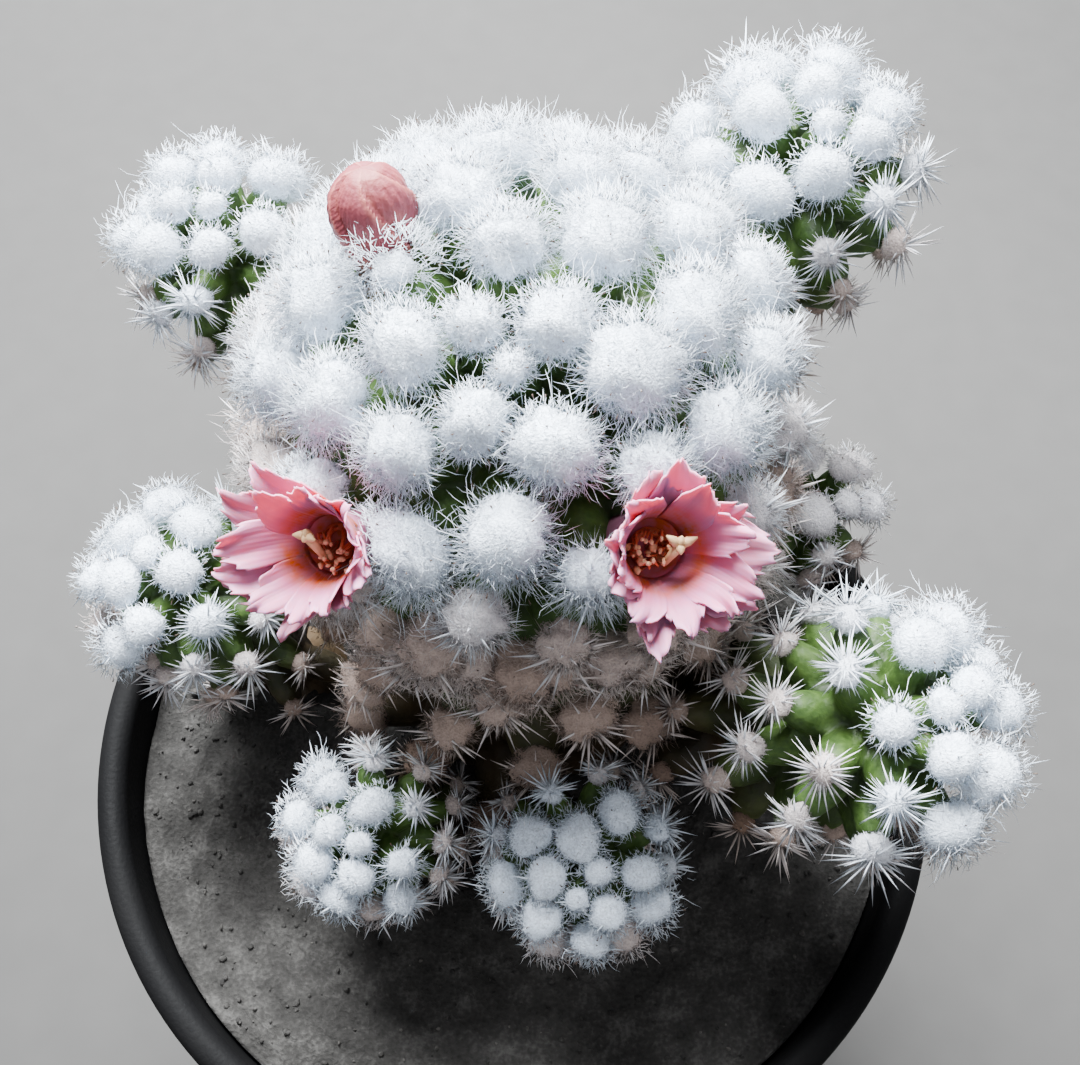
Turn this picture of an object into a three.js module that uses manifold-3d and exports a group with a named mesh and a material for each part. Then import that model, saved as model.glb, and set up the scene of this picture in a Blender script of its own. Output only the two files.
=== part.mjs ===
// A thimble cactus of the white, tufted kind in a round pot: a thick main stem with seven offsets round it,
// two open flowers and one bud. Millimetres, +Z up, the pot stands on Z = 0 and its axis is the Z axis.
// The front of the plant, where the flowers are, looks towards -Y.
import * as THREE from "three";
import { ConvexHull } from "three/addons/math/ConvexHull.js";
import { mergeVertices } from "three/addons/utils/BufferGeometryUtils.js";
import Module from "manifold-3d";

const wasm = await Module();
wasm.setup();

const GOLDEN_ANGLE = Math.PI * (3 - Math.sqrt(5));
const TAU = 2 * Math.PI;

// Clearance between two pieces that touch on the real plant.
const CLEARANCE = 0.3;

// Pot, with a plain flat foot and drain holes
const POT_HEIGHT = 72;
const RIM_RADIUS = 42;
const LIP_WIDTH = 3;
const LIP_HEIGHT = 9;
const LIP_ROUND = 1.4;
const WALL_TOP_RADIUS = 39.6;
const FOOT_RADIUS = 30;
const WALL = 2;
const FLOOR_TOP = 2.4;
const DRAIN_HOLES = 4;
const DRAIN_RADIUS = 3;
const DRAIN_FROM_AXIS = 17;
const POT_SIDES = 36;

// Soil
const SOIL_BELOW_RIM = 6;
const SOIL_RELIEF = 0.7;
const SOIL_RINGS = 3;
const STEM_IN_SOIL = 7;

// The latitude that stands for the pole on the round map.
const POLE_LATITUDE = -6;

// What every stem has: the steps of its round cap and of its body, how fast the body narrows to its waist,
// and how much smaller young tubercles at the tip start.
const CAP_STEPS = 40;
const BODY_STEPS = 60;
const WAIST_CURVE = 1.6;
const YOUNG_SHARE = 0.35;
const YOUNG_ROWS = 3;

// How deep the grooves are against the distance between two tubercles, how much further old tubercles stand
// apart, how deep a bare tubercle sinks in its groove, and the share of a cell that the last one needs.
const GROOVE_SHARE = 0.66;
const OLD_SPACING = 2.1;
const BARE_SINK = 0.9;
const LAST_CELL = 0.45;
const FLESH_OVER_GROOVE = 0.8;
const FLESH_BALL_STEP = 3;

// A tuft's core against its reach, how far the spines' tips stand out of the tubercles, the falls from the
// tuft's axis to the lower and the upper ring of its core, the share of the way down where tufts have grown
// old and thin, and the smallest share of its size that a pressed tuft keeps.
const CORE_SHARE = 0.6;
const SPINE_REACH = 1.1;
const LOW_FALL = 1.85;
const HIGH_FALL = 0.72;
const OLD_AGE = 0.03;
const LEAST_TUFT = 0.5;

// A stem's foot: its sides, how deep it goes into the main stem and how steeply, how far before the foot the
// stem's path turns in, and the step of the round map down to the foot.
const FOOT_SIDES = 6;
const STEM_IN_STEM = 6;
const SEAT_SLOPE = -0.45;
const ARRIVE_SHARE = 0.4;
const FOOT_STEP = 0.25;

// The main stem. Places are measured from the middle of the pot's rim. The middle is that of the round top,
// outer is the radius over the spines' tips there, and the tip leans towards the front.
const MAIN_STEM = {
  name: "stem_main",
  middle: [1.6, 14.3, 36.9],
  tip: [-0.1, -0.385],
  outer: 24.8,
  tuft: 3.6,
  spacing: 8,
  youngShare: 0.21,
  youngRows: 3.5,
  turn: 339,
  waist: 18.5,
  neck: 11.5,
  bend: 8,
  seat: { soil: [2, 8.5] },
};

// The offsets. Those with a height grow out of the main stem's side there, and the others stand in the soil.
const OFFSETS = [
  {
    name: "offset_back_left",
    middle: [-24.9, 33.4, 33.6],
    tip: [-0.17, -0.2],
    outer: 11.8,
    tuft: 2.8,
    spacing: 6.1,
    turn: 20,
    waist: 6.6,
    neck: 3.6,
    bend: 7,
    seat: { height: 15, inset: 13 },
  },
  {
    name: "offset_back_right",
    middle: [25.1, 37.2, 38.6],
    tip: [0.24, -0.16],
    outer: 13.7,
    tuft: 3.1,
    spacing: 6.8,
    turn: 200,
    waist: 8,
    neck: 4.2,
    bend: 8,
    seat: { height: 19, inset: 13 },
  },
  {
    name: "offset_left",
    middle: [-29.7, 8.1, 17.2],
    tip: [-0.28, -0.16],
    outer: 11.2,
    tuft: 2.8,
    spacing: 6.1,
    turn: 75,
    waist: 7,
    neck: 4.8,
    bend: 7,
    seat: { soil: [-23, 10] },
  },
  {
    name: "offset_right",
    middle: [29.6, -8.2, 24.9],
    tip: [0.4, -0.24],
    outer: 13.6,
    tuft: 3.1,
    spacing: 6.6,
    turn: 130,
    waist: 8.2,
    neck: 4.4,
    bend: 9,
    seat: { height: 6, inset: 12 },
  },
  {
    name: "offset_front_left",
    middle: [-12.2, -12.4, 10.1],
    tip: [-0.22, -0.44],
    outer: 9.5,
    tuft: 2.1,
    spacing: 4.4,
    turn: 10,
    waist: 6,
    neck: 4.4,
    bend: 5,
    seat: { soil: [-9.5, -8] },
  },
  {
    name: "offset_front",
    middle: [6.2, -15, 11.6],
    tip: [-0.04, -0.56],
    outer: 10.2,
    tuft: 2.2,
    spacing: 4.5,
    turn: 260,
    waist: 6.2,
    neck: 4.4,
    bend: 5,
    seat: { soil: [6, -9] },
  },
  {
    name: "offset_side_right",
    middle: [29.8, 21, 9.5],
    tip: [0.4, -0.2],
    outer: 10,
    tuft: 2.5,
    spacing: 5.3,
    turn: 300,
    waist: 5.6,
    neck: 3.2,
    bend: 5,
    seat: { soil: [25, 19] },
  },
];

// Flowers and bud. Each mouth is measured from the middle of the pot's rim, and facing is the way it opens.
// Each petal has its turn about the flower in degrees, how far its end reaches, its width, and how high its
// end rises over the tube's mouth.
const FLOWERS = [
  {
    name: "flower_left",
    mouth: [-12.8, -4.4, 49.6],
    facing: [-0.32, -0.56, 0.83],
    petals: [
      [113, 7.5, 3, 0.5],
      [143, 8.1, 3.1, 0.4],
      [200, 7.4, 3.8, 0.2],
      [248, 7, 2.5, 0],
      [302, 5.1, 2.1, 0.4],
      [60, 4.4, 3.2, 1.8],
      [340, 5.2, 3, 0.6],
      [172, 6.9, 3, 0.9],
      [223, 6.3, 3.2, 0.7],
      [262, 5, 2.6, 1.2],
      [285, 4.8, 2.4, 1.5],
      [5, 5, 2.9, 1.7],
      [31, 5.2, 2.9, 1.8],
      [85, 4.5, 2.9, 1.9],
      [125, 5, 2.7, 1.6],
    ],
  },
  {
    name: "flower_right",
    mouth: [11.15, -5.8, 51.9],
    facing: [0.22, -0.52, 0.83],
    petals: [
      [108, 5.7, 3.4, 0.6],
      [11, 7.5, 4.2, 0.3],
      [42, 5.9, 3, 0.8],
      [304, 6.6, 3.8, 0],
      [260, 6, 3.2, 0.2],
      [172, 4.8, 3.6, 1.6],
      [214, 5, 3.4, 1.3],
      [85, 6.4, 3.8, 1],
      [130, 4.8, 3.2, 1.5],
      [62, 5.1, 2.8, 1.3],
      [327, 7.1, 3.1, 0.7],
      [288, 5.7, 2.8, 1.1],
      [268, 7.3, 3.2, 0.6],
      [242, 5.4, 3, 1.2],
      [205, 4.5, 2.8, 1.8],
    ],
  },
];
const FLOWER_LENGTH = 13;
const TUBE_RADIUS = 1.8;
const THROAT_RADIUS = 3;
const CUP_DEPTH = 5.5;
const CUP_WALL = 0.7;
const PETAL_THICKNESS = 0.6;
const PETAL_START = 3;
const PETAL_ARCH = 0.35;
const TUBE_LENGTH = 9;
const TUBE_TOP_RADIUS = 2.1;
const MOUTH_BELOW_PETALS = 1.6;
const FILAMENTS = 8;
const FILAMENT_LENGTH = 4.6;
const STIGMA_LOBES = 4;
const STIGMA_LENGTH = 5.6;
const STIGMA_SPREAD = 1.1;
const TUBE_SIDES = 10;

const BUD = { name: "bud", mouth: [-9.2, 18.7, 60.7], facing: [-0.1, 0.23, 0.95] };
const BUD_LENGTH = 14.5;
const BUD_RADIUS = 3.2;
const BUD_PETALS = 5;
const BUD_WRAP = 0.15;

// The room that a flower and the bud take up: balls that grow from a place along them to their ends.
const BLOOM_BALLS = 8;
const FLARE_FROM = 7.5;
const FLOWER_FLARE = 2.4;
const BUD_FLARE = 1.2;

// How far a bored hole goes past what stands in it.
const HOLE_OVER = 4;

// Colours
const GREEN = 0x4a6b2c;
const WHITE_SPINES = 0xe9ebee;
const POT_GREY = 0x1b1b1c;
const SOIL_GREY = 0x3b3a39;
const PETAL_PINK = 0xe79aa4;
const ANTHER_YELLOW = 0xe8b878;
const STIGMA_CREAM = 0xf1dca4;
const BUD_RED = 0xbf6a66;

const fromRim = ([x, y, z]) => new THREE.Vector3(x, y, z + POT_HEIGHT);
const mix = (a, b, share) => a + (b - a) * share;

// Joining and cutting

function solidOf(geometry) {
  const bare = new THREE.BufferGeometry();
  bare.setAttribute("position", geometry.getAttribute("position"));
  bare.setIndex(geometry.index);
  const merged = mergeVertices(bare, 1e-3);
  const triVerts = new Uint32Array(merged.index.array);
  const vertProperties = merged.attributes.position.array;
  return new wasm.Manifold(new wasm.Mesh({ numProp: 3, vertProperties, triVerts }));
}

function geometryOf(solid) {
  const mesh = solid.getMesh();
  const geometry = new THREE.BufferGeometry();
  geometry.setAttribute("position", new THREE.BufferAttribute(mesh.vertProperties, 3));
  geometry.setIndex(new THREE.BufferAttribute(mesh.triVerts, 1));
  geometry.computeVertexNormals();
  return geometry;
}

function geometryFromTriangles(triangles) {
  const geometry = new THREE.BufferGeometry();
  geometry.setFromPoints(triangles.flat());
  geometry.computeVertexNormals();
  return geometry;
}

// Turns a shape made along +Z so that it stands at a point and looks along a direction.
function standAt(geometry, point, direction) {
  const turn = new THREE.Quaternion().setFromUnitVectors(new THREE.Vector3(0, 0, 1), direction);
  return geometry.applyQuaternion(turn).translate(point.x, point.y, point.z);
}

// A round hole, made along a direction from a point inside.
function borer(point, direction, radius, length) {
  const corner = radius / Math.cos(Math.PI / 16);
  const cylinder = new THREE.CylinderGeometry(corner, corner, length, 16);
  cylinder.rotateX(Math.PI / 2).translate(0, 0, length / 2);
  return solidOf(standAt(cylinder, point, direction));
}

function addMesh(group, name, geometry, color, roughness) {
  const material = new THREE.MeshStandardMaterial({ color, roughness, metalness: 0 });
  const mesh = new THREE.Mesh(geometry, material);
  mesh.name = name;
  group.add(mesh);
}

// Stems

// The way a stem's foot goes: straight down in the soil, or into the main stem's side.
function seatOf(spec, mainPath) {
  if (spec.seat.soil) {
    const [x, y] = spec.seat.soil;
    const foot = fromRim([x, y, -SOIL_BELOW_RIM - STEM_IN_SOIL]);
    return { foot, inward: new THREE.Vector3(0, 0, -1), sunk: STEM_IN_SOIL };
  }
  const level = spec.seat.height + POT_HEIGHT;
  const axis = mainPath.reduce((a, b) => (Math.abs(a.z - level) < Math.abs(b.z - level) ? a : b));
  const outward = fromRim(spec.middle).sub(axis).setZ(0).normalize();
  const foot = axis.clone().addScaledVector(outward, spec.seat.inset);
  const inward = outward.clone().negate().setZ(SEAT_SLOPE).normalize();
  return { foot, inward, sunk: STEM_IN_STEM };
}

// Rings of the stem's skin, at the height of the tubercles' tips, from the tip down. Each knows its middle,
// its frame, its radius, the slope of the skin, the skin's area above it, and its latitude on a round map.
function ringsOf(spec, mainPath) {
  const [leanX, leanY] = spec.tip;
  const tip = new THREE.Vector3(leanX, leanY, Math.sqrt(1 - leanX * leanX - leanY * leanY));
  const middle = fromRim(spec.middle);
  const top = spec.outer - SPINE_REACH * spec.tuft;
  const { foot, inward, sunk } = seatOf(spec, mainPath);
  const leave = middle.clone().addScaledVector(tip, -spec.bend);
  const arrive = foot.clone().addScaledVector(inward, -sunk - spec.bend * ARRIVE_SHARE);
  const path = new THREE.CubicBezierCurve3(middle, leave, arrive, foot);
  const length = path.getLength();
  const body = length - sunk;
  const side = new THREE.Vector3(1, 0, 0);
  const rings = [];
  side.addScaledVector(tip, -side.dot(tip)).normalize();
  let area = 0;
  let latitude = POLE_LATITUDE;
  for (let i = 0; i <= CAP_STEPS; i++) {
    const slope = (Math.PI / 2) * (i / CAP_STEPS);
    const centre = middle.clone().addScaledVector(tip, top * Math.cos(slope));
    const radius = top * Math.sin(slope);
    if (i > 0) latitude = Math.log(Math.tan(slope / 2));
    area = TAU * top * top * (1 - Math.cos(slope));
    rings.push({ centre, axis: tip, side: side.clone(), radius, slope, area, latitude });
  }
  for (let i = 1; i <= BODY_STEPS; i++) {
    const share = i / BODY_STEPS;
    const centre = path.getPointAt((share * body) / length);
    const axis = path.getTangentAt((share * body) / length).negate();
    side.addScaledVector(axis, -side.dot(axis)).normalize();
    const radius = mix(top, spec.waist, share ** WAIST_CURVE);
    const last = rings.at(-1);
    const stride = Math.hypot(body / BODY_STEPS, radius - last.radius);
    area += Math.PI * (radius + last.radius) * stride;
    latitude += (2 * stride) / (radius + last.radius);
    const slope = Math.PI / 2 + Math.atan2(last.radius - radius, body / BODY_STEPS);
    rings.push({ centre, axis, side: side.clone(), radius, slope, area, latitude });
  }
  return { rings, foot, inward, sunk, path };
}

// The point of the skin that has the given area above it, at the given turn about the stem.
function skinAt(rings, area, turn) {
  const above = Math.max(rings.findIndex((ring) => ring.area > area) - 1, 0);
  const a = rings[above];
  const b = rings[above + 1];
  const share = Math.min(Math.max((area - a.area) / (b.area - a.area), 0), 1);
  const between = (key) => mix(a[key], b[key], share);
  const axis = a.axis.clone().lerp(b.axis, share).normalize();
  const side = a.side.clone().lerp(b.side, share);
  side.addScaledVector(axis, -side.dot(axis)).normalize();
  const outward = side.clone().applyAxisAngle(axis, turn);
  const slope = between("slope");
  const normal = axis.clone().multiplyScalar(Math.cos(slope)).addScaledVector(outward, Math.sin(slope));
  const point = a.centre.clone().lerp(b.centre, share).addScaledVector(outward, between("radius"));
  return { point, normal, map: onMap(between("latitude"), turn) };
}

// The place on a round map for a latitude on a stem and a turn about it.
function onMap(latitude, turn) {
  const width = 1 / Math.cosh(latitude);
  return new THREE.Vector3(Math.cos(turn) * width, Math.sin(turn) * width, -Math.tanh(latitude));
}

// Tubercles from the tip down, each a golden angle on from the last. Young ones are small and close, and old
// ones stand further apart.
function tuberclesOf(spec, rings) {
  const cell = (Math.sqrt(3) / 2) * spec.spacing ** 2;
  const young = 1 - (spec.youngShare ?? YOUNG_SHARE);
  const rows = spec.youngRows ?? YOUNG_ROWS;
  const capArea = rings[CAP_STEPS].area;
  const total = rings.at(-1).area;
  const tubercles = [];
  let area = 0;
  for (let k = 0; ; k++) {
    const grown = 1 - young * Math.exp(-k / rows);
    const age = Math.max(area - capArea, 0) / (total - capArea);
    const share = cell * grown * (1 + OLD_SPACING * age);
    const at = area + share / 2;
    if (at > total - share * LAST_CELL) return tubercles;
    const skin = skinAt(rings, at, THREE.MathUtils.degToRad(spec.turn) + GOLDEN_ANGLE * k);
    const size = Math.sqrt(grown);
    const depth = spec.spacing * GROOVE_SHARE * size;
    tubercles.push({ ...skin, size, depth, tuft: spec.tuft * size, age });
    area += share;
  }
}

// Balls that stand for what a stem's flesh takes up, a little over the grooves' depth.
function fleshBalls({ spec, rings, foot }) {
  const depth = spec.spacing * GROOVE_SHARE - FLESH_OVER_GROOVE;
  const picked = rings.filter((_, i) => i >= CAP_STEPS && (i - CAP_STEPS) % FLESH_BALL_STEP === 0);
  const balls = picked.map(({ centre, radius }) => ({ centre, radius: radius - depth }));
  balls.push({ centre: foot, radius: spec.neck });
  return balls;
}

function planStem(spec, mainPath) {
  const stem = { spec, ...ringsOf(spec, mainPath) };
  stem.tubercles = tuberclesOf(spec, stem.rings);
  stem.flesh = fleshBalls(stem);
  return stem;
}

// The room round a point up to the soil, and up to the pot's rim near the wall.
function roomOverSoil(point) {
  const soil = POT_HEIGHT - SOIL_BELOW_RIM + SOIL_RELIEF;
  const nearWall = Math.hypot(point.x, point.y) > WALL_TOP_RADIUS - LIP_WIDTH;
  return point.z - (nearWall ? POT_HEIGHT : soil);
}

// A tuft that presses on something else is smaller, and a tubercle with no room for its tuft is left flat.
function fitCrowded(stems, flowerBalls) {
  const taken = [...flowerBalls];
  for (const stem of stems) {
    const others = stems.filter((other) => other !== stem).flatMap((other) => other.flesh);
    for (const tubercle of stem.tubercles) {
      const balls = [...others, ...taken];
      const rooms = balls.map(({ centre, radius }) => centre.distanceTo(tubercle.point) - radius);
      const room = Math.min(roomOverSoil(tubercle.point), ...rooms) - CLEARANCE;
      tubercle.stands = room > tubercle.tuft * LEAST_TUFT;
      tubercle.tuft = Math.min(tubercle.tuft, room);
    }
    const standing = stem.tubercles.filter((tubercle) => tubercle.stands);
    taken.push(...standing.map(({ point, tuft }) => ({ centre: point, radius: tuft })));
  }
}

// Three faces that rise from a triangle to a spine's tip.
function spine(a, b, c, heart, reach) {
  const tip = a.clone().add(b).add(c).divideScalar(3).sub(heart).setLength(reach).add(heart);
  return [a, b, tip, b, c, tip, c, a, tip];
}

// Sides of a tubercle up to its tuft, and the tuft's spines, on every face of a small core.
function tubercleFaces(tubercle, groove) {
  const { point, normal, tuft } = tubercle;
  const heart = point.clone();
  const core = tuft * CORE_SHARE;
  const onCore = (direction, fall) =>
    heart
      .clone()
      .addScaledVector(direction, core * Math.sin(fall))
      .addScaledVector(normal, core * Math.cos(fall));
  const outward = groove.map((corner) => corner.clone().sub(point).projectOnPlane(normal).normalize());
  const low = outward.map((direction) => onCore(direction, LOW_FALL));
  const faces = [];
  const count = groove.length;
  for (let i = 0; i < count; i++) {
    const next = (i + 1) % count;
    faces.push([groove[i], groove[next], low[next], groove[i], low[next], low[i]]);
  }
  if (tubercle.age > OLD_AGE) {
    const top = onCore(normal, 0);
    for (let i = 0; i < count; i++) faces.push(spine(low[i], low[(i + 1) % count], top, heart, tuft));
    return faces.flat();
  }
  const first = outward[0].clone().applyAxisAngle(normal, TAU / 12);
  const high = [0, 1, 2].map((i) => onCore(first.clone().applyAxisAngle(normal, (TAU / 3) * i), HIGH_FALL));
  const turnOf = (corner) => {
    const flat = corner.clone().sub(heart).projectOnPlane(normal);
    const across = new THREE.Vector3().crossVectors(outward[0], flat).dot(normal);
    return (Math.atan2(across, outward[0].dot(flat)) + TAU + 1e-6) % TAU;
  };
  const lowTurns = low.map(turnOf);
  const highTurns = high.map(turnOf);
  let i = 0;
  let j = 0;
  while (i < count || j < 3) {
    const nextLow = i + 1 >= count ? TAU : lowTurns[i + 1];
    const nextHigh = j + 1 >= 3 ? TAU + highTurns[0] : highTurns[j + 1];
    if (i < count && (j >= 3 || nextLow <= nextHigh)) {
      faces.push(spine(low[i], low[(i + 1) % count], high[j % 3], heart, tuft));
      i++;
    } else {
      faces.push(spine(low[i % count], high[(j + 1) % 3], high[j % 3], heart, tuft));
      j++;
    }
  }
  faces.push(spine(high[0], high[1], high[2], heart, tuft));
  return faces.flat();
}

// The stem's whole skin: every tubercle has a cell, and the cells' shared corners lie in the grooves. The
// corners are the middles of the triangles that join neighbours on the round map.
function stemGeometry(stem) {
  const { spec, rings, tubercles, foot, inward, sunk } = stem;
  const axis = inward.clone().negate();
  const side = new THREE.Vector3(1, 0, 0).projectOnPlane(axis).normalize();
  const neckPoint = (turn, below) =>
    foot
      .clone()
      .addScaledVector(axis, sunk - below)
      .addScaledVector(side.clone().applyAxisAngle(axis, turn), spec.neck);
  const last = rings.at(-1);
  const cells = [...tubercles];
  for (let i = 0; i < FOOT_SIDES; i++) {
    const turn = (TAU * (i + 0.5)) / FOOT_SIDES;
    const point = neckPoint(turn, 0);
    const reference = point.clone().sub(foot).projectOnPlane(last.axis);
    const across = new THREE.Vector3().crossVectors(last.side, reference).dot(last.axis);
    const map = onMap(last.latitude + FOOT_STEP, Math.atan2(across, last.side.dot(reference)));
    const normal = point.clone().sub(foot).projectOnPlane(axis).normalize();
    cells.push({ point, map, neckTurn: turn, depth: 0, normal });
  }
  const end = { point: foot.clone(), normal: inward, map: new THREE.Vector3(0, 0, -1), depth: 0, end: true };
  cells.push(end);
  const hull = new ConvexHull().setFromPoints(cells.map((cell) => cell.map));
  const cellOf = new Map(cells.map((cell) => [cell.map, cell]));
  for (const cell of cells) cell.corners = [];
  for (const face of hull.faces) {
    const around = [0, 1, 2].map((i) => cellOf.get(face.getEdge(i).vertex.point));
    const corner = cornerOf(around, neckPoint, sunk);
    for (const cell of around) cell.corners.push(corner);
  }
  const triangles = [];
  for (const cell of cells) {
    const start = cell.corners[0].clone().sub(cell.point).projectOnPlane(cell.normal).normalize();
    const turnOf = (corner) => {
      const flat = corner.clone().sub(cell.point).projectOnPlane(cell.normal);
      const across = new THREE.Vector3().crossVectors(start, flat).dot(cell.normal);
      return Math.atan2(across, start.dot(flat));
    };
    const ring = [...cell.corners].sort((a, b) => turnOf(a) - turnOf(b));
    if (cell.stands) {
      triangles.push(tubercleFaces(cell, ring));
      continue;
    }
    const centre = cell.point.clone();
    if (cell.depth > 0) centre.addScaledVector(cell.normal, -cell.depth * BARE_SINK);
    for (let i = 0; i < ring.length; i++) {
      triangles.push([ring[i], ring[(i + 1) % ring.length], centre]);
    }
  }
  return geometryFromTriangles(triangles);
}

// A groove's corner: between three tubercles it lies deep, and round the foot's end it lies on the rim.
function cornerOf(around, neckPoint, sunk) {
  if (around.some((cell) => cell.end)) {
    const [a, b] = around.filter((cell) => !cell.end).map((cell) => cell.neckTurn);
    const gap = Math.abs(a - b) > Math.PI ? TAU : 0;
    return neckPoint((a + b + gap) / 2, sunk);
  }
  const corner = new THREE.Vector3();
  for (const cell of around) {
    corner.add(cell.point).addScaledVector(cell.normal, -cell.depth);
  }
  return corner.divideScalar(3);
}

// Pot and soil

function potGeometry() {
  const lipBottom = POT_HEIGHT - LIP_HEIGHT;
  const innerRim = RIM_RADIUS - LIP_WIDTH;
  const innerFoot = FOOT_RADIUS - WALL;
  const profile = [
    [0, 0],
    [FOOT_RADIUS - 0.8, 0],
    [FOOT_RADIUS, 0.8],
    [WALL_TOP_RADIUS, lipBottom],
    [RIM_RADIUS - 0.4, lipBottom + 0.6],
    [RIM_RADIUS, lipBottom + 1.4],
  ];
  for (const angle of [0, 45, 90, 135, 180]) {
    const turn = THREE.MathUtils.degToRad(angle);
    const middle = angle <= 90 ? RIM_RADIUS - LIP_ROUND : innerRim + LIP_ROUND;
    profile.push([middle + LIP_ROUND * Math.cos(turn), POT_HEIGHT - LIP_ROUND + LIP_ROUND * Math.sin(turn)]);
  }
  profile.push([innerRim - 0.4, lipBottom - 2], [innerFoot, FLOOR_TOP], [0, FLOOR_TOP]);
  const points = profile.map(([x, z]) => new THREE.Vector2(x, z));
  const bowl = solidOf(new THREE.LatheGeometry(points, POT_SIDES).rotateX(Math.PI / 2));
  const up = new THREE.Vector3(0, 0, 1);
  const drains = Array.from({ length: DRAIN_HOLES }, (_, i) => {
    const turn = (TAU * (i + 0.5)) / DRAIN_HOLES;
    const from = new THREE.Vector3(DRAIN_FROM_AXIS * Math.cos(turn), DRAIN_FROM_AXIS * Math.sin(turn), -1);
    return borer(from, up, DRAIN_RADIUS, FLOOR_TOP + 2);
  });
  return geometryOf(wasm.Manifold.difference([bowl, ...drains]));
}

// The inner wall's radius at a height, which the soil follows.
function innerRadius(z) {
  const bend = POT_HEIGHT - LIP_HEIGHT - 2;
  const innerRim = RIM_RADIUS - LIP_WIDTH;
  if (z > bend) return mix(innerRim - 0.4, innerRim, (z - bend) / (LIP_HEIGHT + 2 - LIP_ROUND));
  return mix(FOOT_RADIUS - WALL, innerRim - 0.4, (z - FLOOR_TOP) / (bend - FLOOR_TOP));
}

function soilHeight(x, y) {
  const waves = Math.sin(x * 0.31 + 1.3) + Math.sin(y * 0.27 - x * 0.11) + Math.sin(x * 0.13 + y * 0.4 + 2);
  return POT_HEIGHT - SOIL_BELOW_RIM + (SOIL_RELIEF * waves) / 3;
}

function soilSolid() {
  const rings = [];
  const at = (radius, z, i) => {
    const turn = (TAU * i) / POT_SIDES;
    return new THREE.Vector3(radius * Math.cos(turn), radius * Math.sin(turn), z);
  };
  const topEdge = innerRadius(POT_HEIGHT - SOIL_BELOW_RIM) - CLEARANCE;
  for (let r = 1; r <= SOIL_RINGS; r++) {
    const radius = (topEdge * r) / SOIL_RINGS;
    rings.push(
      Array.from({ length: POT_SIDES }, (_, i) => {
        const corner = at(radius, 0, i);
        corner.z = soilHeight(corner.x, corner.y);
        return corner;
      }),
    );
  }
  const bend = POT_HEIGHT - LIP_HEIGHT - 2;
  for (const z of [bend, FLOOR_TOP + CLEARANCE]) {
    rings.push(Array.from({ length: POT_SIDES }, (_, i) => at(innerRadius(z) - CLEARANCE, z, i)));
  }
  const top = new THREE.Vector3(0, 0, soilHeight(0, 0));
  const bottom = new THREE.Vector3(0, 0, FLOOR_TOP + CLEARANCE);
  const triangles = [];
  for (let i = 0; i < POT_SIDES; i++) {
    const next = (i + 1) % POT_SIDES;
    triangles.push([top, rings[0][i], rings[0][next]], [bottom, rings.at(-1)[next], rings.at(-1)[i]]);
    for (let r = 0; r + 1 < rings.length; r++) {
      const [near, far] = [rings[r], rings[r + 1]];
      triangles.push([near[i], far[i], far[next]], [near[i], far[next], near[next]]);
    }
  }
  return solidOf(geometryFromTriangles(triangles));
}

// Flowers

// Rows of corners along a petal: how far along, half its width there as a share, and its end's teeth.
const PETAL_ROWS = [
  { along: 0, half: 0.22, teeth: [0, 0, 0] },
  { along: 0.62, half: 0.5, teeth: [0, 0, 0] },
  { along: 1, half: 0.36, teeth: [0, -0.13, 0.05] },
];

// A petal: a thin arched blade that widens from the cup and ends in two teeth.
function petalSolid([degrees, reach, width, rise]) {
  const turn = THREE.MathUtils.degToRad(degrees);
  const startRadius = THROAT_RADIUS - CUP_WALL;
  const corner = (row, column, face) => {
    const along = row.along + row.teeth[column];
    const radius = mix(startRadius, reach, along ** 0.9);
    const angle = turn + ((column - 1) * row.half * width) / radius;
    const arch = Math.abs(column - 1) * PETAL_ARCH * row.along;
    const height = mix(FLOWER_LENGTH - PETAL_START, FLOWER_LENGTH + rise, along ** 0.8) + arch;
    const z = height - face * PETAL_THICKNESS;
    return new THREE.Vector3(radius * Math.cos(angle), radius * Math.sin(angle), z);
  };
  const sheet = (face) => PETAL_ROWS.map((row) => [0, 1, 2].map((column) => corner(row, column, face)));
  const upper = sheet(0);
  const lower = sheet(1);
  const triangles = [];
  for (let r = 0; r < 2; r++) {
    for (let c = 0; c < 2; c++) {
      const quad = (s) => [s[r][c], s[r + 1][c], s[r + 1][c + 1], s[r][c + 1]];
      const [a, b, d, e] = quad(upper);
      triangles.push([a, b, d], [a, d, e]);
      const [p, q, s, t] = quad(lower);
      triangles.push([p, s, q], [p, t, s]);
    }
  }
  const edge = [[0, 0], [0, 1], [0, 2], [1, 2], [2, 2], [2, 1], [2, 0], [1, 0]];
  edge.forEach(([r, c], i) => {
    const [nextR, nextC] = edge[(i + 1) % edge.length];
    triangles.push([upper[r][c], upper[nextR][nextC], lower[nextR][nextC]]);
    triangles.push([upper[r][c], lower[nextR][nextC], lower[r][c]]);
  });
  return solidOf(geometryFromTriangles(triangles));
}

// The tube with its cup and petals.
function corollaGeometry(flower) {
  const mouth = FLOWER_LENGTH - MOUTH_BELOW_PETALS;
  const profile = [
    [0, 0],
    [TUBE_RADIUS, 0],
    [TUBE_TOP_RADIUS, (2 * TUBE_LENGTH) / 3],
    [THROAT_RADIUS, mouth],
    [THROAT_RADIUS - CUP_WALL, mouth],
    [TUBE_RADIUS, FLOWER_LENGTH - CUP_DEPTH + CUP_WALL],
    [0, FLOWER_LENGTH - CUP_DEPTH],
  ];
  const points = profile.map(([x, z]) => new THREE.Vector2(x, z));
  const cup = solidOf(new THREE.LatheGeometry(points, TUBE_SIDES).rotateX(Math.PI / 2));
  return geometryOf(wasm.Manifold.union([cup, ...flower.petals.map(petalSolid)]));
}

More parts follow.
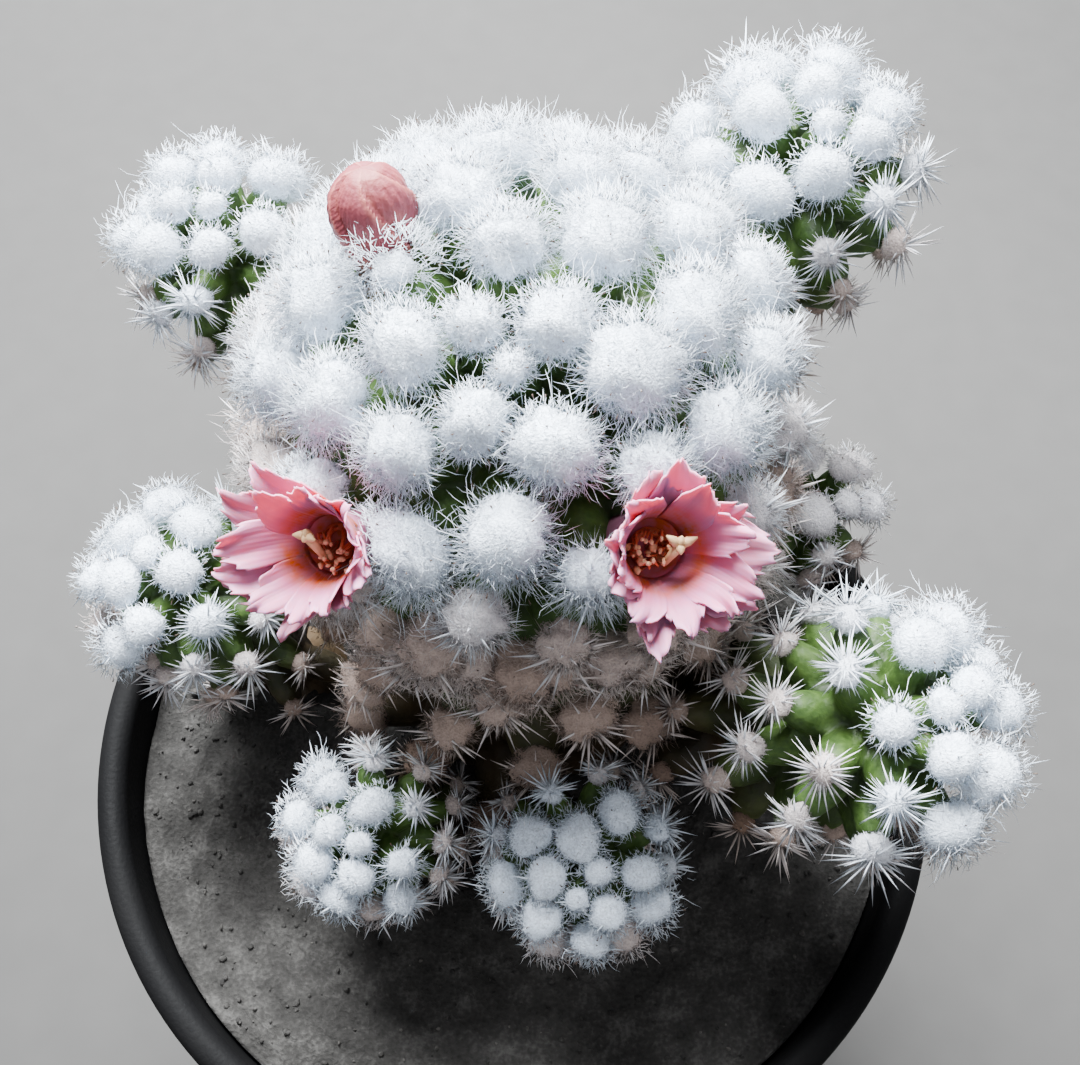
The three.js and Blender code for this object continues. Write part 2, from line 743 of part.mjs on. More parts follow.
// Three-sided thread from one point to another.
function threadSolid(from, to, radius, endRadius) {
  const direction = to.clone().sub(from);
  const length = direction.length();
  const thread = new THREE.CylinderGeometry(endRadius, radius, length, 3);
  thread.rotateX(Math.PI / 2).translate(0, 0, length / 2);
  return solidOf(standAt(thread, from, direction.normalize()));
}

// The stamens: filaments with anthers on a ring that holds them together at the foot of the cup.
function stamensGeometry() {
  const foot = FLOWER_LENGTH - CUP_DEPTH + CLEARANCE + 0.5;
  const section = [[0.75, 0], [1.35, 0.1], [1.45, 0.6], [0.75, 0.6], [0.75, 0]];
  const ring = new THREE.LatheGeometry(section.map(([x, z]) => new THREE.Vector2(x, z)), TUBE_SIDES);
  ring.rotateX(Math.PI / 2).translate(0, 0, foot);
  const pieces = [solidOf(ring)];
  for (let i = 0; i < FILAMENTS; i++) {
    const turn = GOLDEN_ANGLE * i;
    const spread = 1.15 + 0.55 * Math.sqrt((i + 1) / FILAMENTS);
    const length = FILAMENT_LENGTH * (0.8 + 0.05 * ((i * 7) % 5));
    const from = new THREE.Vector3(1.08 * Math.cos(turn), 1.08 * Math.sin(turn), foot + 0.3);
    const to = new THREE.Vector3(spread * Math.cos(turn), spread * Math.sin(turn), foot + length);
    const anther = new THREE.OctahedronGeometry(0.42).scale(1, 1, 1.3).translate(to.x, to.y, to.z);
    pieces.push(threadSolid(from, to, 0.24, 0.2), solidOf(anther));
  }
  return geometryOf(wasm.Manifold.union(pieces));
}

// The stigma: lobes that spread on the end of a style.
function stigmaGeometry() {
  const foot = FLOWER_LENGTH - CUP_DEPTH + CLEARANCE;
  const top = foot + STIGMA_LENGTH;
  const style = threadSolid(new THREE.Vector3(0, 0, foot), new THREE.Vector3(0, 0, top), 0.42, 0.38);
  const lobes = Array.from({ length: STIGMA_LOBES }, (_, i) => {
    const turn = (TAU * (i + 0.3)) / STIGMA_LOBES;
    const [x, y] = [STIGMA_SPREAD * Math.cos(turn), STIGMA_SPREAD * Math.sin(turn)];
    const to = new THREE.Vector3(x, y, top + STIGMA_SPREAD);
    return threadSolid(new THREE.Vector3(0, 0, top - 0.3), to, 0.34, 0.3);
  });
  return geometryOf(wasm.Manifold.union([style, ...lobes]));
}

// A closed bud: a tube, and a dome of petals wrapped round each other.
function budGeometry() {
  const stations = [
    [TUBE_RADIUS, 0],
    [TUBE_TOP_RADIUS, BUD_LENGTH - 8],
    [BUD_RADIUS * 0.86, BUD_LENGTH - 5.6],
    [BUD_RADIUS, BUD_LENGTH - 3.6],
    [BUD_RADIUS * 0.88, BUD_LENGTH - 1.7],
    [BUD_RADIUS * 0.5, BUD_LENGTH - 0.4],
  ];
  const sides = BUD_PETALS * 3;
  const rings = stations.map(([radius, z], s) =>
    Array.from({ length: sides }, (_, i) => {
      const wrap = s > 1 ? (((i + s) / 3) % 1) * BUD_WRAP : 0;
      const turn = (TAU * i) / sides;
      const reach = radius * (1 - wrap);
      return new THREE.Vector3(reach * Math.cos(turn), reach * Math.sin(turn), z);
    }),
  );
  const top = new THREE.Vector3(0, 0, BUD_LENGTH);
  const bottom = new THREE.Vector3(0, 0, 0);
  const triangles = [];
  for (let i = 0; i < sides; i++) {
    const next = (i + 1) % sides;
    triangles.push([top, rings.at(-1)[i], rings.at(-1)[next]], [bottom, rings[0][next], rings[0][i]]);
    for (let r = 0; r + 1 < rings.length; r++) {
      const [low, high] = [rings[r], rings[r + 1]];
      triangles.push([low[i], low[next], high[next]], [low[i], high[next], high[i]]);
    }
  }
  return geometryFromTriangles(triangles);
}

// Where a flower or the bud stands: the foot of its tube, and the way it faces.
function standing(bloom, length) {
  const facing = new THREE.Vector3(...bloom.facing).normalize();
  const base = fromRim(bloom.mouth).addScaledVector(facing, -length);
  return { ...bloom, facing, base };
}

// What a flower or the bud takes up, as balls along its axis that grow towards its mouth by the flare.
function bloomBalls({ base, facing }, length, flare) {
  return Array.from({ length: BLOOM_BALLS }, (_, i) => {
    const along = (length * i) / (BLOOM_BALLS - 1);
    const grown = flare * Math.max(0, (along - FLARE_FROM) / (length - FLARE_FROM)) ** 1.5;
    const radius = TUBE_TOP_RADIUS + CLEARANCE + grown;
    return { centre: base.clone().addScaledVector(facing, along + grown), radius };
  });
}

// Holes for a stem's foot, in the soil or in the main stem, and for a flower's tube in the main stem.
function holeOf({ foot, inward, sunk, spec }) {
  const from = foot.clone().addScaledVector(inward, CLEARANCE);
  return borer(from, inward.clone().negate(), spec.neck + CLEARANCE, sunk + CLEARANCE + HOLE_OVER);
}

function bloomHole({ base, facing }) {
  const from = base.clone().addScaledVector(facing, -CLEARANCE);
  return borer(from, facing, TUBE_TOP_RADIUS + CLEARANCE, TUBE_LENGTH + HOLE_OVER);
}

// The whole plant in its pot

const cactus = new THREE.Group();
addMesh(cactus, "pot", potGeometry(), POT_GREY, 0.5);

const blooms = FLOWERS.map((flower) => standing(flower, FLOWER_LENGTH));
const bud = standing(BUD, BUD_LENGTH);
const taken = [
  ...blooms.flatMap((bloom) => bloomBalls(bloom, FLOWER_LENGTH, FLOWER_FLARE)),
  ...bloomBalls(bud, BUD_LENGTH - BUD_RADIUS / 2, BUD_FLARE),
];

const mainStem = planStem(MAIN_STEM, []);
const mainPath = mainStem.path.getSpacedPoints(BODY_STEPS);
const offsets = OFFSETS.map((spec) => planStem(spec, mainPath));
const stems = [mainStem, ...offsets];
fitCrowded(stems, taken);

const inSoil = stems.filter((stem) => stem.spec.seat.soil);
const onMain = offsets.filter((stem) => !stem.spec.seat.soil);

const soil = wasm.Manifold.difference([soilSolid(), ...inSoil.map(holeOf)]);
addMesh(cactus, "soil", geometryOf(soil), SOIL_GREY, 0.95);

const mainHoles = [...onMain.map(holeOf), ...[...blooms, bud].map(bloomHole)];
const mainSolid = wasm.Manifold.difference([solidOf(stemGeometry(mainStem)), ...mainHoles]);
addMesh(cactus, "stem_main", geometryOf(mainSolid), WHITE_SPINES, 0.8);
for (const stem of offsets) {
  addMesh(cactus, stem.spec.name, stemGeometry(stem), GREEN, 0.8);
}

for (const flower of blooms) {
  const parts = [
    ["petals", corollaGeometry(flower), PETAL_PINK],
    ["stamens", stamensGeometry(), ANTHER_YELLOW],
    ["stigma", stigmaGeometry(), STIGMA_CREAM],
  ];
  for (const [part, geometry, color] of parts) {
    addMesh(cactus, `${flower.name}_${part}`, standAt(geometry, flower.base, flower.facing), color, 0.6);
  }
}
addMesh(cactus, bud.name, standAt(budGeometry(), bud.base, bud.facing), BUD_RED, 0.6);

export default cactus;
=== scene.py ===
# The looks of a potted thimble cactus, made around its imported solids: a round dark pot, soil, a main stem
# with seven offsets, two open flowers and a bud. Laid out as an add-on and run as a script. Working sizes are
# in millimetres, as in the solids, and meshes are written in metres.
import math

import bmesh
import bpy
import numpy as np
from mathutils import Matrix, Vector


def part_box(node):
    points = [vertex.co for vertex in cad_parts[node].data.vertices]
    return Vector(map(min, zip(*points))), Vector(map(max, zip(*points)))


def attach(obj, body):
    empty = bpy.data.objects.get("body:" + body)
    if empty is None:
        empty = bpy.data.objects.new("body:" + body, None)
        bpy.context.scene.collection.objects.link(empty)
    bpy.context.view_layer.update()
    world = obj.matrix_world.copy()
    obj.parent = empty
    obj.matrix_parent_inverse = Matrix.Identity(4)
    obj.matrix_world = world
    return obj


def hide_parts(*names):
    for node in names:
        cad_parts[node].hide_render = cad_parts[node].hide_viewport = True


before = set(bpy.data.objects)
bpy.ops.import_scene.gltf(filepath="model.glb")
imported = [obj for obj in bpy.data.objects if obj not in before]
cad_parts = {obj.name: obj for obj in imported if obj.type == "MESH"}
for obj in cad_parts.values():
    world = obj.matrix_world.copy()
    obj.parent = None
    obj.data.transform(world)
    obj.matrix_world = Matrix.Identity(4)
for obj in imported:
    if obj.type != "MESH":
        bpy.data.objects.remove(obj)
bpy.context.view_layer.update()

bl_info = {
    "name": "Potted thimble cactus",
    "version": (1, 0, 0),
    "blender": (4, 5, 0),
    "location": "3D View > Sidebar > Cactus",
    "description": "Builds the pot, soil, stems, spines, flowers and bud of a potted thimble cactus",
    "category": "Add Mesh",
}

MM = 0.001
TAU = 2 * math.pi
GOLDEN_ANGLE = math.pi * (3 - math.sqrt(5))
UP = np.array((0.0, 0.0, 1.0))
# A slanting direction that turns round a tuft are measured from
TURN_FROM = np.array((0.31, 0.95, 0.11))

# Sizes of the solids that the looks follow
POT_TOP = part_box("pot")[1][2] / MM
RIM_RADIUS = 42.0
LIP_WIDTH = 3.0
LIP_HEIGHT = 9.0
LIP_ROUND = 1.4
INNER_RIM = RIM_RADIUS - LIP_WIDTH
LIP_BOTTOM = POT_TOP - LIP_HEIGHT
WALL_TOP_RADIUS = 39.6
FOOT_RADIUS = 30.0
WALL = 2.0
FLOOR_TOP = 2.4
BEND_BELOW_LIP = 2.0
BEND_LEVEL = LIP_BOTTOM - BEND_BELOW_LIP
BEND_RADIUS = INNER_RIM - 0.4
DRAIN_HOLES = 4
DRAIN_RADIUS = 3.0
DRAIN_FROM_AXIS = 17.0
SOIL_BELOW_RIM = 6.0
SOIL_LEVEL = POT_TOP - SOIL_BELOW_RIM
SOIL_RELIEF = 0.7
STEM_IN_SOIL = 7.0
STEM_IN_STEM = 6.0
CLEARANCE = 0.3
FLOWER_LENGTH = 13.0
TUBE_RADIUS = 1.8
CUP_DEPTH = 5.5
CUP_FLOOR = FLOWER_LENGTH - CUP_DEPTH
BUD_LENGTH = 14.5
BUD_RADIUS = 3.2

# The plan of the tubercles, by the same rule as the solids: how far spines reach past the skin as a share of
# a tuft, how deep grooves are as a share of the spacing, how much smaller the youngest are and over how many,
# the skin that one takes at a spacing of 1, how much further apart the oldest are, and the steps down a stem
SPINE_REACH = 1.1
GROOVE_SHARE = 0.66
YOUNG = 0.65
YOUNG_ROWS = 3
CELL = 0.866
OLD_SPACING = 1.4
CAP_STEPS = 40
BODY_STEPS = 60

# Where tufts stand: how far a tuft may press into others and into the soil and what room it needs, as shares
# of its reach, and the balls that stand for a flower or bud, where they widen and by how much
TUFT_PRESS = 0.5
SOIL_PRESS = 0.4
TUFT_ROOM = 0.45
BLOOM_BALLS = 8
FLARE_FROM = 7.5
FLOWER_SPREAD = 2.4
BUD_SPREAD = 1.2

# How the tufts of the main stem and of the offsets differ: how finely their felt is made, how many wisps,
# dark ends and strong spines a young tuft has, the share of the settings' strong spines that a grown one has,
# and how many times as wide as in the settings its spines are
MAIN_TUFTS = {
    "ball": 3, "wisps": 52, "specks": 26, "strong_young": 0, "strong": 0.65, "strong_width": 1.25,
    "fluff_width": 1,
}
OFFSET_TUFTS = {
    "ball": 2, "wisps": 10, "specks": 7, "strong_young": 4, "strong": 1, "strong_width": 1,
    "fluff_width": 1.3,
}

# Spines: how full a tuft is beside its solid, how far from its axis fine spines and dark ends grow, a dark
# end's size, and how many tufts go into one mesh
FULLNESS = 1.06
HAIR_SPREAD = math.radians(112)
SPECK_SPREAD = math.radians(95)
SPECK_WIDTH = 0.16
SPECK_LENGTH = 0.5
TUFTS_A_PIECE = 30

# Flowers and bud: how deep a petal's teeth are, how much wider it is than in its row, how far below the mouth
# it starts, the throat's radius at its mouth, and the bud's petals and how far their free edges stand out
PETAL_TEETH = 0.16
PETAL_FULLNESS = 1.15
PETAL_START = 4.0
THROAT_MOUTH = 2.2
BUD_PETALS = 5
BUD_LAP = 0.16

# Rows and columns of the grids, and sides or points of round bodies
PETAL_GRID = (17, 25)
BUD_GRID = (44, 120)
SOIL_GRID = (64, 150)
FLESH_GRID_MAIN = (120, 140)
FLESH_GRID_OFFSET = (52, 62)
POT_SIDES = 160
DRAIN_SIDES = 32
THROAT_SIDES = 40
RING_POINTS = 20

FLOOR_HALF = 4000.0
PICTURE_WIDTH = 1080

# Each stem, with places from the middle of the pot's rim: the middle of its round head, the way its tip
# leans, its radius over the spines, its tufts' reach and spacing, where the spiral starts, its radius at the
# waist and at the foot, and how long it goes straight before it bends. A stem with a height grows out of the
# main stem's side there, and the others stand in the soil. Soft is the way that its soft white tufts face,
# full is how full its tufts are, and a painted warm shade, where a stem has one, makes its tufts more
# withered and beige where they stand in the shade.
STEMS = {
    "stem_main": {
        "middle": (1.6, 14.3, 36.9), "tip": (-0.1, -0.385), "outer": 24.8, "tuft": 3.6, "spacing": 8.0,
        "turn": 339, "waist": 18.5, "neck": 11.5, "bend": 8.0, "soil": (2.0, 8.5),
        "young": 0.79, "young_rows": 3.5, "soft": (-0.3, 0.15), "full": 1.08,
    },
    "offset_back_left": {
        "middle": (-24.9, 33.4, 33.6), "tip": (-0.17, -0.2), "outer": 11.8, "tuft": 2.8, "spacing": 6.1,
        "turn": 20, "waist": 6.6, "neck": 3.6, "bend": 7.0, "height": 15.0, "inset": 13.0,
        "soft": (-0.3, 0.3),
    },
    "offset_back_right": {
        "middle": (25.1, 37.2, 38.6), "tip": (0.24, -0.16), "outer": 13.7, "tuft": 3.1, "spacing": 6.8,
        "turn": 200, "waist": 8.0, "neck": 4.2, "bend": 8.0, "height": 19.0, "inset": 13.0,
        "soft": (-0.3, 0.4),
    },
    "offset_left": {
        "middle": (-29.7, 8.1, 17.2), "tip": (-0.28, -0.16), "outer": 11.2, "tuft": 2.8, "spacing": 6.1,
        "turn": 75, "waist": 7.0, "neck": 4.8, "bend": 7.0, "soil": (-23.0, 10.0),
        "soft": (-0.6, 0.1),
    },
    "offset_right": {
        "middle": (29.6, -8.2, 24.9), "tip": (0.4, -0.24), "outer": 13.6, "tuft": 3.1, "spacing": 6.6,
        "turn": 130, "waist": 8.2, "neck": 4.4, "bend": 9.0, "height": 6.0, "inset": 12.0,
        "soft": (0.93, 0.0),
    },
    "offset_front_left": {
        "middle": (-12.2, -12.4, 10.1), "tip": (-0.22, -0.44), "outer": 9.5, "tuft": 2.3, "spacing": 5.0,
        "turn": 10, "waist": 6.0, "neck": 4.4, "bend": 5.0, "soil": (-9.5, -8.0),
        "soft": (-0.68, -0.6), "full": 1.08,
    },
    "offset_front": {
        "middle": (6.2, -15.0, 11.6), "tip": (-0.04, -0.56), "outer": 10.2, "tuft": 2.4, "spacing": 5.0,
        "turn": 260, "waist": 6.2, "neck": 4.4, "bend": 5.0, "soil": (6.0, -9.0),
        "soft": (0.1, -0.76), "full": 1.08,
    },
    "offset_side_right": {
        "middle": (29.8, 21.0, 9.5), "tip": (0.4, -0.2), "outer": 10.0, "tuft": 3.1, "spacing": 6.6,
        "turn": 300, "waist": 5.6, "neck": 3.2, "bend": 5.0, "soil": (25.0, 19.0),
        # A warm painted shade on this offset's tufts, which stand in the main stem's shade
        "soft": (0.5, 0.1), "aged_and_shaded": 0.2,
    },
}

# Flowers and bud: the mouth or the top and the way it faces. Each petal has the way it points in degrees, its
# reach, its width, how far its end rises, how pointed it is and how pale. Anthers lean to one side, and the
# stigma stands at a place of its own in the throat with two long lobes.
FLOWERS = {
    "flower_left": {
        "mouth": (-12.8, -4.4, 49.6), "facing": (-0.32, -0.56, 0.83), "seed": 5,
        "anthers": (0.8, -0.9), "stigma": (-0.3, 0.9), "lobes": (170, -25, 0.85),
        "petals": (
            (113, 7.5, 3.0, 0.5, 0.5, 0.9), (143, 8.1, 3.1, 0.4, 0.4, 0.8), (200, 7.4, 3.8, 0.2, 0.25, 0.8),
            (248, 7.0, 2.5, 0.0, 0.55, 1.0), (302, 5.1, 2.1, 0.4, 0.2, 1.0), (60, 4.4, 3.2, 1.8, 0.3, 0.8),
            (340, 5.2, 3.0, 0.6, 0.3, 0.6), (172, 6.9, 3.0, 0.9, 0.3, 0.4), (187, 7.5, 3.2, 0.6, 0.25, 0.5),
            (223, 6.3, 3.2, 0.7, 0.4, 0.5), (262, 5.0, 2.6, 1.2, 0.3, 0.3), (285, 4.8, 2.4, 1.5, 0.3, 0.1),
            (333, 5.3, 3.3, 1.3, 0.2, 0.2), (5, 5.0, 2.9, 1.7, 0.3, 0.2), (31, 5.2, 2.9, 1.8, 0.3, 0.1),
            (85, 4.5, 2.9, 1.9, 0.3, 0.2), (125, 5.0, 2.7, 1.6, 0.35, 0.1),
        ),
    },
    "flower_right": {
        "mouth": (11.15, -5.8, 51.9), "facing": (0.22, -0.52, 0.83), "seed": 8,
        "anthers": (-1.3, -0.3), "stigma": (0.8, 0.5), "lobes": (152, 28, 1.2),
        "petals": (
            (108, 5.7, 3.4, 0.6, 0.3, 0.9), (11, 7.5, 4.2, 0.3, 0.15, 1.0), (42, 5.9, 3.0, 0.8, 0.35, 0.7),
            (304, 6.6, 3.8, 0.0, 0.25, 0.8), (260, 6.0, 3.2, 0.2, 0.3, 0.7), (172, 4.8, 3.6, 1.6, 0.3, 0.9),
            (214, 5.0, 3.4, 1.3, 0.3, 0.8), (85, 6.4, 3.8, 1.0, 0.45, 0.3), (130, 4.8, 3.2, 1.5, 0.3, 0.2),
            (62, 5.1, 2.8, 1.3, 0.3, 0.1), (20, 5.5, 2.8, 1.4, 0.3, 0.0), (343, 6.8, 3.0, 1.0, 0.3, 0.2),
            (327, 7.1, 3.1, 0.7, 0.35, 0.3), (310, 5.9, 2.4, 1.4, 0.5, 0.1), (288, 5.7, 2.8, 1.1, 0.3, 0.2),
            (268, 7.3, 3.2, 0.6, 0.5, 0.4), (242, 5.4, 3.0, 1.2, 0.3, 0.3), (205, 4.5, 2.8, 1.8, 0.3, 0.2),
            (160, 4.4, 3.0, 1.8, 0.3, 0.2),
        ),
    },
}
BUD = {"top": (-9.2, 18.7, 60.7), "facing": (-0.1, 0.23, 0.95)}


# Small sums

def unit(v):
    return v / np.maximum(np.linalg.norm(v, axis=-1, keepdims=True), 1e-12)


def mix(a, b, share):
    return a + (b - a) * share


def smooth_step(low, high, x):
    share = np.clip((x - low) / (high - low), 0, 1)
    return share * share * (3 - 2 * share)


def from_rim(place):
    """A place given from the middle of the pot's rim, turned into one from the pot's foot."""
    return np.array(place, dtype=float) + (0, 0, POT_TOP)


def square_to(v, axis):
    """The share of v that lies square to an axis, as a direction."""
    return unit(v - np.sum(v * axis, axis=-1, keepdims=True) * axis)


def turned(side, axis, angle):
    """side, square to axis, turned about it."""
    angle = np.asarray(angle)[..., None]
    return side * np.cos(angle) + np.cross(axis, side) * np.sin(angle)


def stood_at(points, base, facing):
    """Points made along +Z, stood at base and looking along facing."""
    turn = Vector((0, 0, 1)).rotation_difference(Vector(facing)).to_matrix()
    return points @ np.array(turn).T + base


# The plan of the stems

def path_of(corners):
    """A cubic curve, as a function of the share of its length, with its length."""
    a, b, c, d = corners
    t = np.linspace(0, 1, 201)[:, None]
    points = (1 - t) ** 3 * a + 3 * t * (1 - t) ** 2 * b + 3 * t * t * (1 - t) * c + t**3 * d
    lengths = np.concatenate([[0], np.cumsum(np.linalg.norm(np.diff(points, axis=0), axis=1))])

    def at(share):
        u = np.interp(share * lengths[-1], lengths, t[:, 0])
        point = (1 - u) ** 3 * a + 3 * u * (1 - u) ** 2 * b + 3 * u * u * (1 - u) * c + u**3 * d
        along = (1 - u) ** 2 * (b - a) + 2 * u * (1 - u) * (c - b) + u * u * (d - c)
        return point, unit(along)

    return at, lengths[-1]


def seat_of(spec, main_axis):
    """A stem's foot, the way it goes in, and how deep."""
    if "soil" in spec:
        x, y = spec["soil"]
        return from_rim((x, y, -SOIL_BELOW_RIM - STEM_IN_SOIL)), -UP, STEM_IN_SOIL
    level = spec["height"] + POT_TOP
    axis = main_axis[np.argmin(np.abs(main_axis[:, 2] - level))]
    outward = from_rim(spec["middle"]) - axis
    outward = unit(outward * (1, 1, 0))
    foot = axis + outward * spec["inset"]
    return foot, unit(-outward + (0, 0, -0.45)), STEM_IN_STEM


def leaning(lean):
    """The upward direction whose share across is given."""
    return np.append(lean, math.sqrt(1 - np.dot(lean, lean)))


def plan_stem(name, spec, main_axis):
    """A stem as rings down a round cap and a bent body, with its tubercles and the room its flesh takes."""
    tip = leaning(spec["tip"])
    middle = from_rim(spec["middle"])
    top = spec["outer"] - SPINE_REACH * spec["tuft"]
    foot, inward, sunk = seat_of(spec, main_axis)
    leave = middle - spec["bend"] * tip
    arrive = foot + inward * (-sunk - spec["bend"] * 0.4)
    at, length = path_of((middle, leave, arrive, foot))
    body = length - sunk
    step = body / BODY_STEPS
    side = np.array((1.0, 0.0, 0.0))
    rings = []
    for i in range(CAP_STEPS + 1):
        angle = math.pi / 2 * i / CAP_STEPS
        side = square_to(side, tip)
        rings.append({
            "centre": middle + tip * top * math.cos(angle), "axis": tip, "side": side,
            "radius": top * math.sin(angle), "slope": angle,
            "area": TAU * top * top * (1 - math.cos(angle)), "run": top * angle,
        })
    for i in range(1, BODY_STEPS + 1):
        share = i / BODY_STEPS
        centre, along = at(share * body / length)
        side = square_to(side, -along)
        last = rings[-1]
        radius = mix(top, spec["waist"], share**1.6)
        stride = math.hypot(step, radius - last["radius"])
        rings.append({
            "centre": centre, "axis": -along, "side": side, "radius": radius,
            "slope": math.pi / 2 + math.atan2(last["radius"] - radius, step),
            "area": last["area"] + math.pi * (radius + last["radius"]) * stride, "run": last["run"] + stride,
        })
    stem = {key: np.array([ring[key] for ring in rings]) for key in rings[0]}
    stem.update(name=name, spec=spec, foot=foot, inward=inward, sunk=sunk)
    stem["main_axis"] = np.array([at(i / BODY_STEPS)[0] for i in range(BODY_STEPS + 1)])
    stem["tubercles"] = plan_tubercles(stem)
    stem["flesh"] = flesh_balls(stem)
    return stem


def skin_at(stem, area, turn):
    """Points and normals of the skin at the tubercles' tips, by the skin's area above and the turn."""

    def at(key):
        table = stem[key]
        if table.ndim == 1:
            return np.interp(area, stem["area"], table)
        return np.stack([np.interp(area, stem["area"], table[:, i]) for i in range(3)], axis=-1)

    axis = unit(at("axis"))
    outward = turned(square_to(at("side"), axis), axis, turn)
    slope = at("slope")[..., None]
    normal = axis * np.cos(slope) + outward * np.sin(slope)
    return at("centre") + outward * at("radius")[..., None], normal


def plan_tubercles(stem):
    """Tubercles on a spiral by the golden angle, each with its own share of the skin."""
    spec = stem["spec"]
    cell = CELL * spec["spacing"] ** 2
    cap_area = stem["area"][CAP_STEPS]
    total = stem["area"][-1]
    found = []
    area = 0.0
    while True:
        k = len(found)
        grown = 1 - spec.get("young", YOUNG) * math.exp(-k / spec.get("young_rows", YOUNG_ROWS))
        age = max(area - cap_area, 0) / (total - cap_area)
        share = cell * grown * (1 + OLD_SPACING * age)
        at = area + share / 2
        if at > total - share * 0.45:
            break
        found.append((at, math.radians(spec["turn"]) + GOLDEN_ANGLE * k, math.sqrt(grown), age))
        area += share
    at, turn, size, age = np.array(found).T
    point, normal = skin_at(stem, at, turn)
    return {
        "point": point, "normal": normal, "size": size, "age": age,
        "depth": spec["spacing"] * GROOVE_SHARE * size, "tuft": spec["tuft"] * size,
        "stands": np.ones(len(at), dtype=bool),
    }


def flesh_balls(stem):
    """Balls that stand for what a stem's flesh takes up, as centres and radii."""
    depth = stem["spec"]["spacing"] * GROOVE_SHARE
    picks = [CAP_STEPS] + list(range(CAP_STEPS + 4, len(stem["radius"]), 3))
    centres = np.vstack([stem["centre"][picks], stem["foot"]])
    radii = np.append(stem["radius"][picks] - depth + 0.8, stem["spec"]["neck"])
    return centres, radii


def room_at(points, balls):
    """How far each point is from the nearest ball's skin, below 0 inside it."""
    centres, radii = balls
    return (np.linalg.norm(points[:, None] - centres[None], axis=2) - radii).min(axis=1)


def bloom_balls(base, facing, length, spread):
    """Balls that stand for what a flower or bud takes up."""
    along = length * np.arange(BLOOM_BALLS) / (BLOOM_BALLS - 1)
    flare = spread * np.maximum(0, (along - FLARE_FROM) / (length - FLARE_FROM)) ** 1.5
    return base + facing * (along + flare * 0.8)[:, None], TUBE_RADIUS + 0.2 + flare


def bloom_place(place, facing, length):
    """The foot of a flower or bud whose mouth or top is at a place, and its direction."""
    facing = unit(np.array(facing))
    return from_rim(place) - facing * length, facing


def all_balls(groups):
    """The balls of several groups as one group."""
    return np.vstack([centres for centres, _ in groups]), np.concatenate([radii for _, radii in groups])


def plan_plant():
    """Every stem's plan. A tubercle carries a tuft only where it has room beside what stands already."""
    main = plan_stem("stem_main", STEMS["stem_main"], None)
    stems = [main]
    stems += [plan_stem(n, s, main["main_axis"]) for n, s in STEMS.items() if n != "stem_main"]
    blooms = []
    for flower in FLOWERS.values():
        place = bloom_place(flower["mouth"], flower["facing"], FLOWER_LENGTH)
        blooms.append(bloom_balls(*place, FLOWER_LENGTH, FLOWER_SPREAD))
    place = bloom_place(BUD["top"], BUD["facing"], BUD_LENGTH)
    blooms.append(bloom_balls(*place, BUD_LENGTH - 1.5, BUD_SPREAD))
    blooms = all_balls(blooms)
    taken = blooms
    for stem in stems:
        stem["others"] = all_balls([other["flesh"] for other in stems if other is not stem])
        stem["blooms"] = blooms
        tubercles = stem["tubercles"]
        point, tuft = tubercles["point"], tubercles["tuft"]
        near_wall = np.hypot(point[:, 0], point[:, 1]) > WALL_TOP_RADIUS - LIP_WIDTH
        over_soil = point[:, 2] - np.where(near_wall, POT_TOP, SOIL_LEVEL)
        room = np.minimum(room_at(point, stem["others"]), room_at(point, taken) + tuft * TUFT_PRESS)
        room = np.minimum(room, over_soil + tuft * SOIL_PRESS)
        stands = tubercles["stands"] = room > tuft * TUFT_ROOM
        taken = all_balls([taken, (point[stands], tuft[stands])])
    return stems


# Meshes

def write_mesh(name, points, faces, values=None, smooth=True, normals=None):
    """A mesh object from points in millimetres, triangles, named values of its points, and their normals."""
    faces = np.asarray(faces, dtype=np.int32)
    mesh = bpy.data.meshes.new(name)
    mesh.vertices.add(len(points))
    mesh.vertices.foreach_set("co", (np.asarray(points) * MM).astype(np.float32).ravel())
    mesh.loops.add(faces.size)
    mesh.loops.foreach_set("vertex_index", faces.ravel())
    mesh.polygons.add(len(faces))
    mesh.polygons.foreach_set("loop_start", np.arange(0, faces.size, 3, dtype=np.int32))
    for key, value in (values or {}).items():
        layer = mesh.attributes.new(key, "FLOAT", "POINT")
        layer.data.foreach_set("value", np.asarray(value, dtype=np.float32))
    mesh.update(calc_edges=True)
    if smooth:
        mesh.shade_smooth()
    if normals is not None:
        layer = mesh.attributes.new("custom_normal", "FLOAT_VECTOR", "POINT")
        layer.data.foreach_set("vector", np.asarray(normals, dtype=np.float32).ravel())
    piece = bpy.data.objects.new(name, mesh)
    bpy.context.scene.collection.objects.link(piece)
    return piece


def finish_piece(piece, material, slot, *nodes):
    """Give a piece its material and its body, and hide the solids that it stands for. Its slot is not used.
    """
    piece.data.materials.append(material)
    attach(piece, "root")
    if nodes:
        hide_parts(*nodes)
    return piece


def grid_faces(rows, columns, closed):
    """Triangles over a grid of points kept row by row, closed round each row or not."""
    r, c = np.meshgrid(np.arange(rows - 1), np.arange(columns if closed else columns - 1), indexing="ij")
    a = (r * columns + c).ravel()
    b = (r * columns + (c + 1) % columns).ravel()
    d = a + columns
    e = b + columns
    return np.concatenate([np.stack([a, d, e], 1), np.stack([a, e, b], 1)])


def fan_faces(centre, ring):
    return np.stack([np.full(len(ring), centre), ring, np.roll(ring, -1)], 1)


def skin_faces(rows, columns):
    """Triangles over a grid closed round each row, and from its ends to the two points kept after it."""
    count = rows * columns
    return np.concatenate([
        grid_faces(rows, columns, True),
        fan_faces(count, np.arange(columns)),
        fan_faces(count + 1, np.arange(count - columns, count))[:, ::-1],
    ])


def copied_faces(faces, each, count):
    """The same triangles for each of several copies of a form."""
    return (np.asarray(faces)[None] + each * np.arange(count)[:, None, None]).reshape(-1, 3)


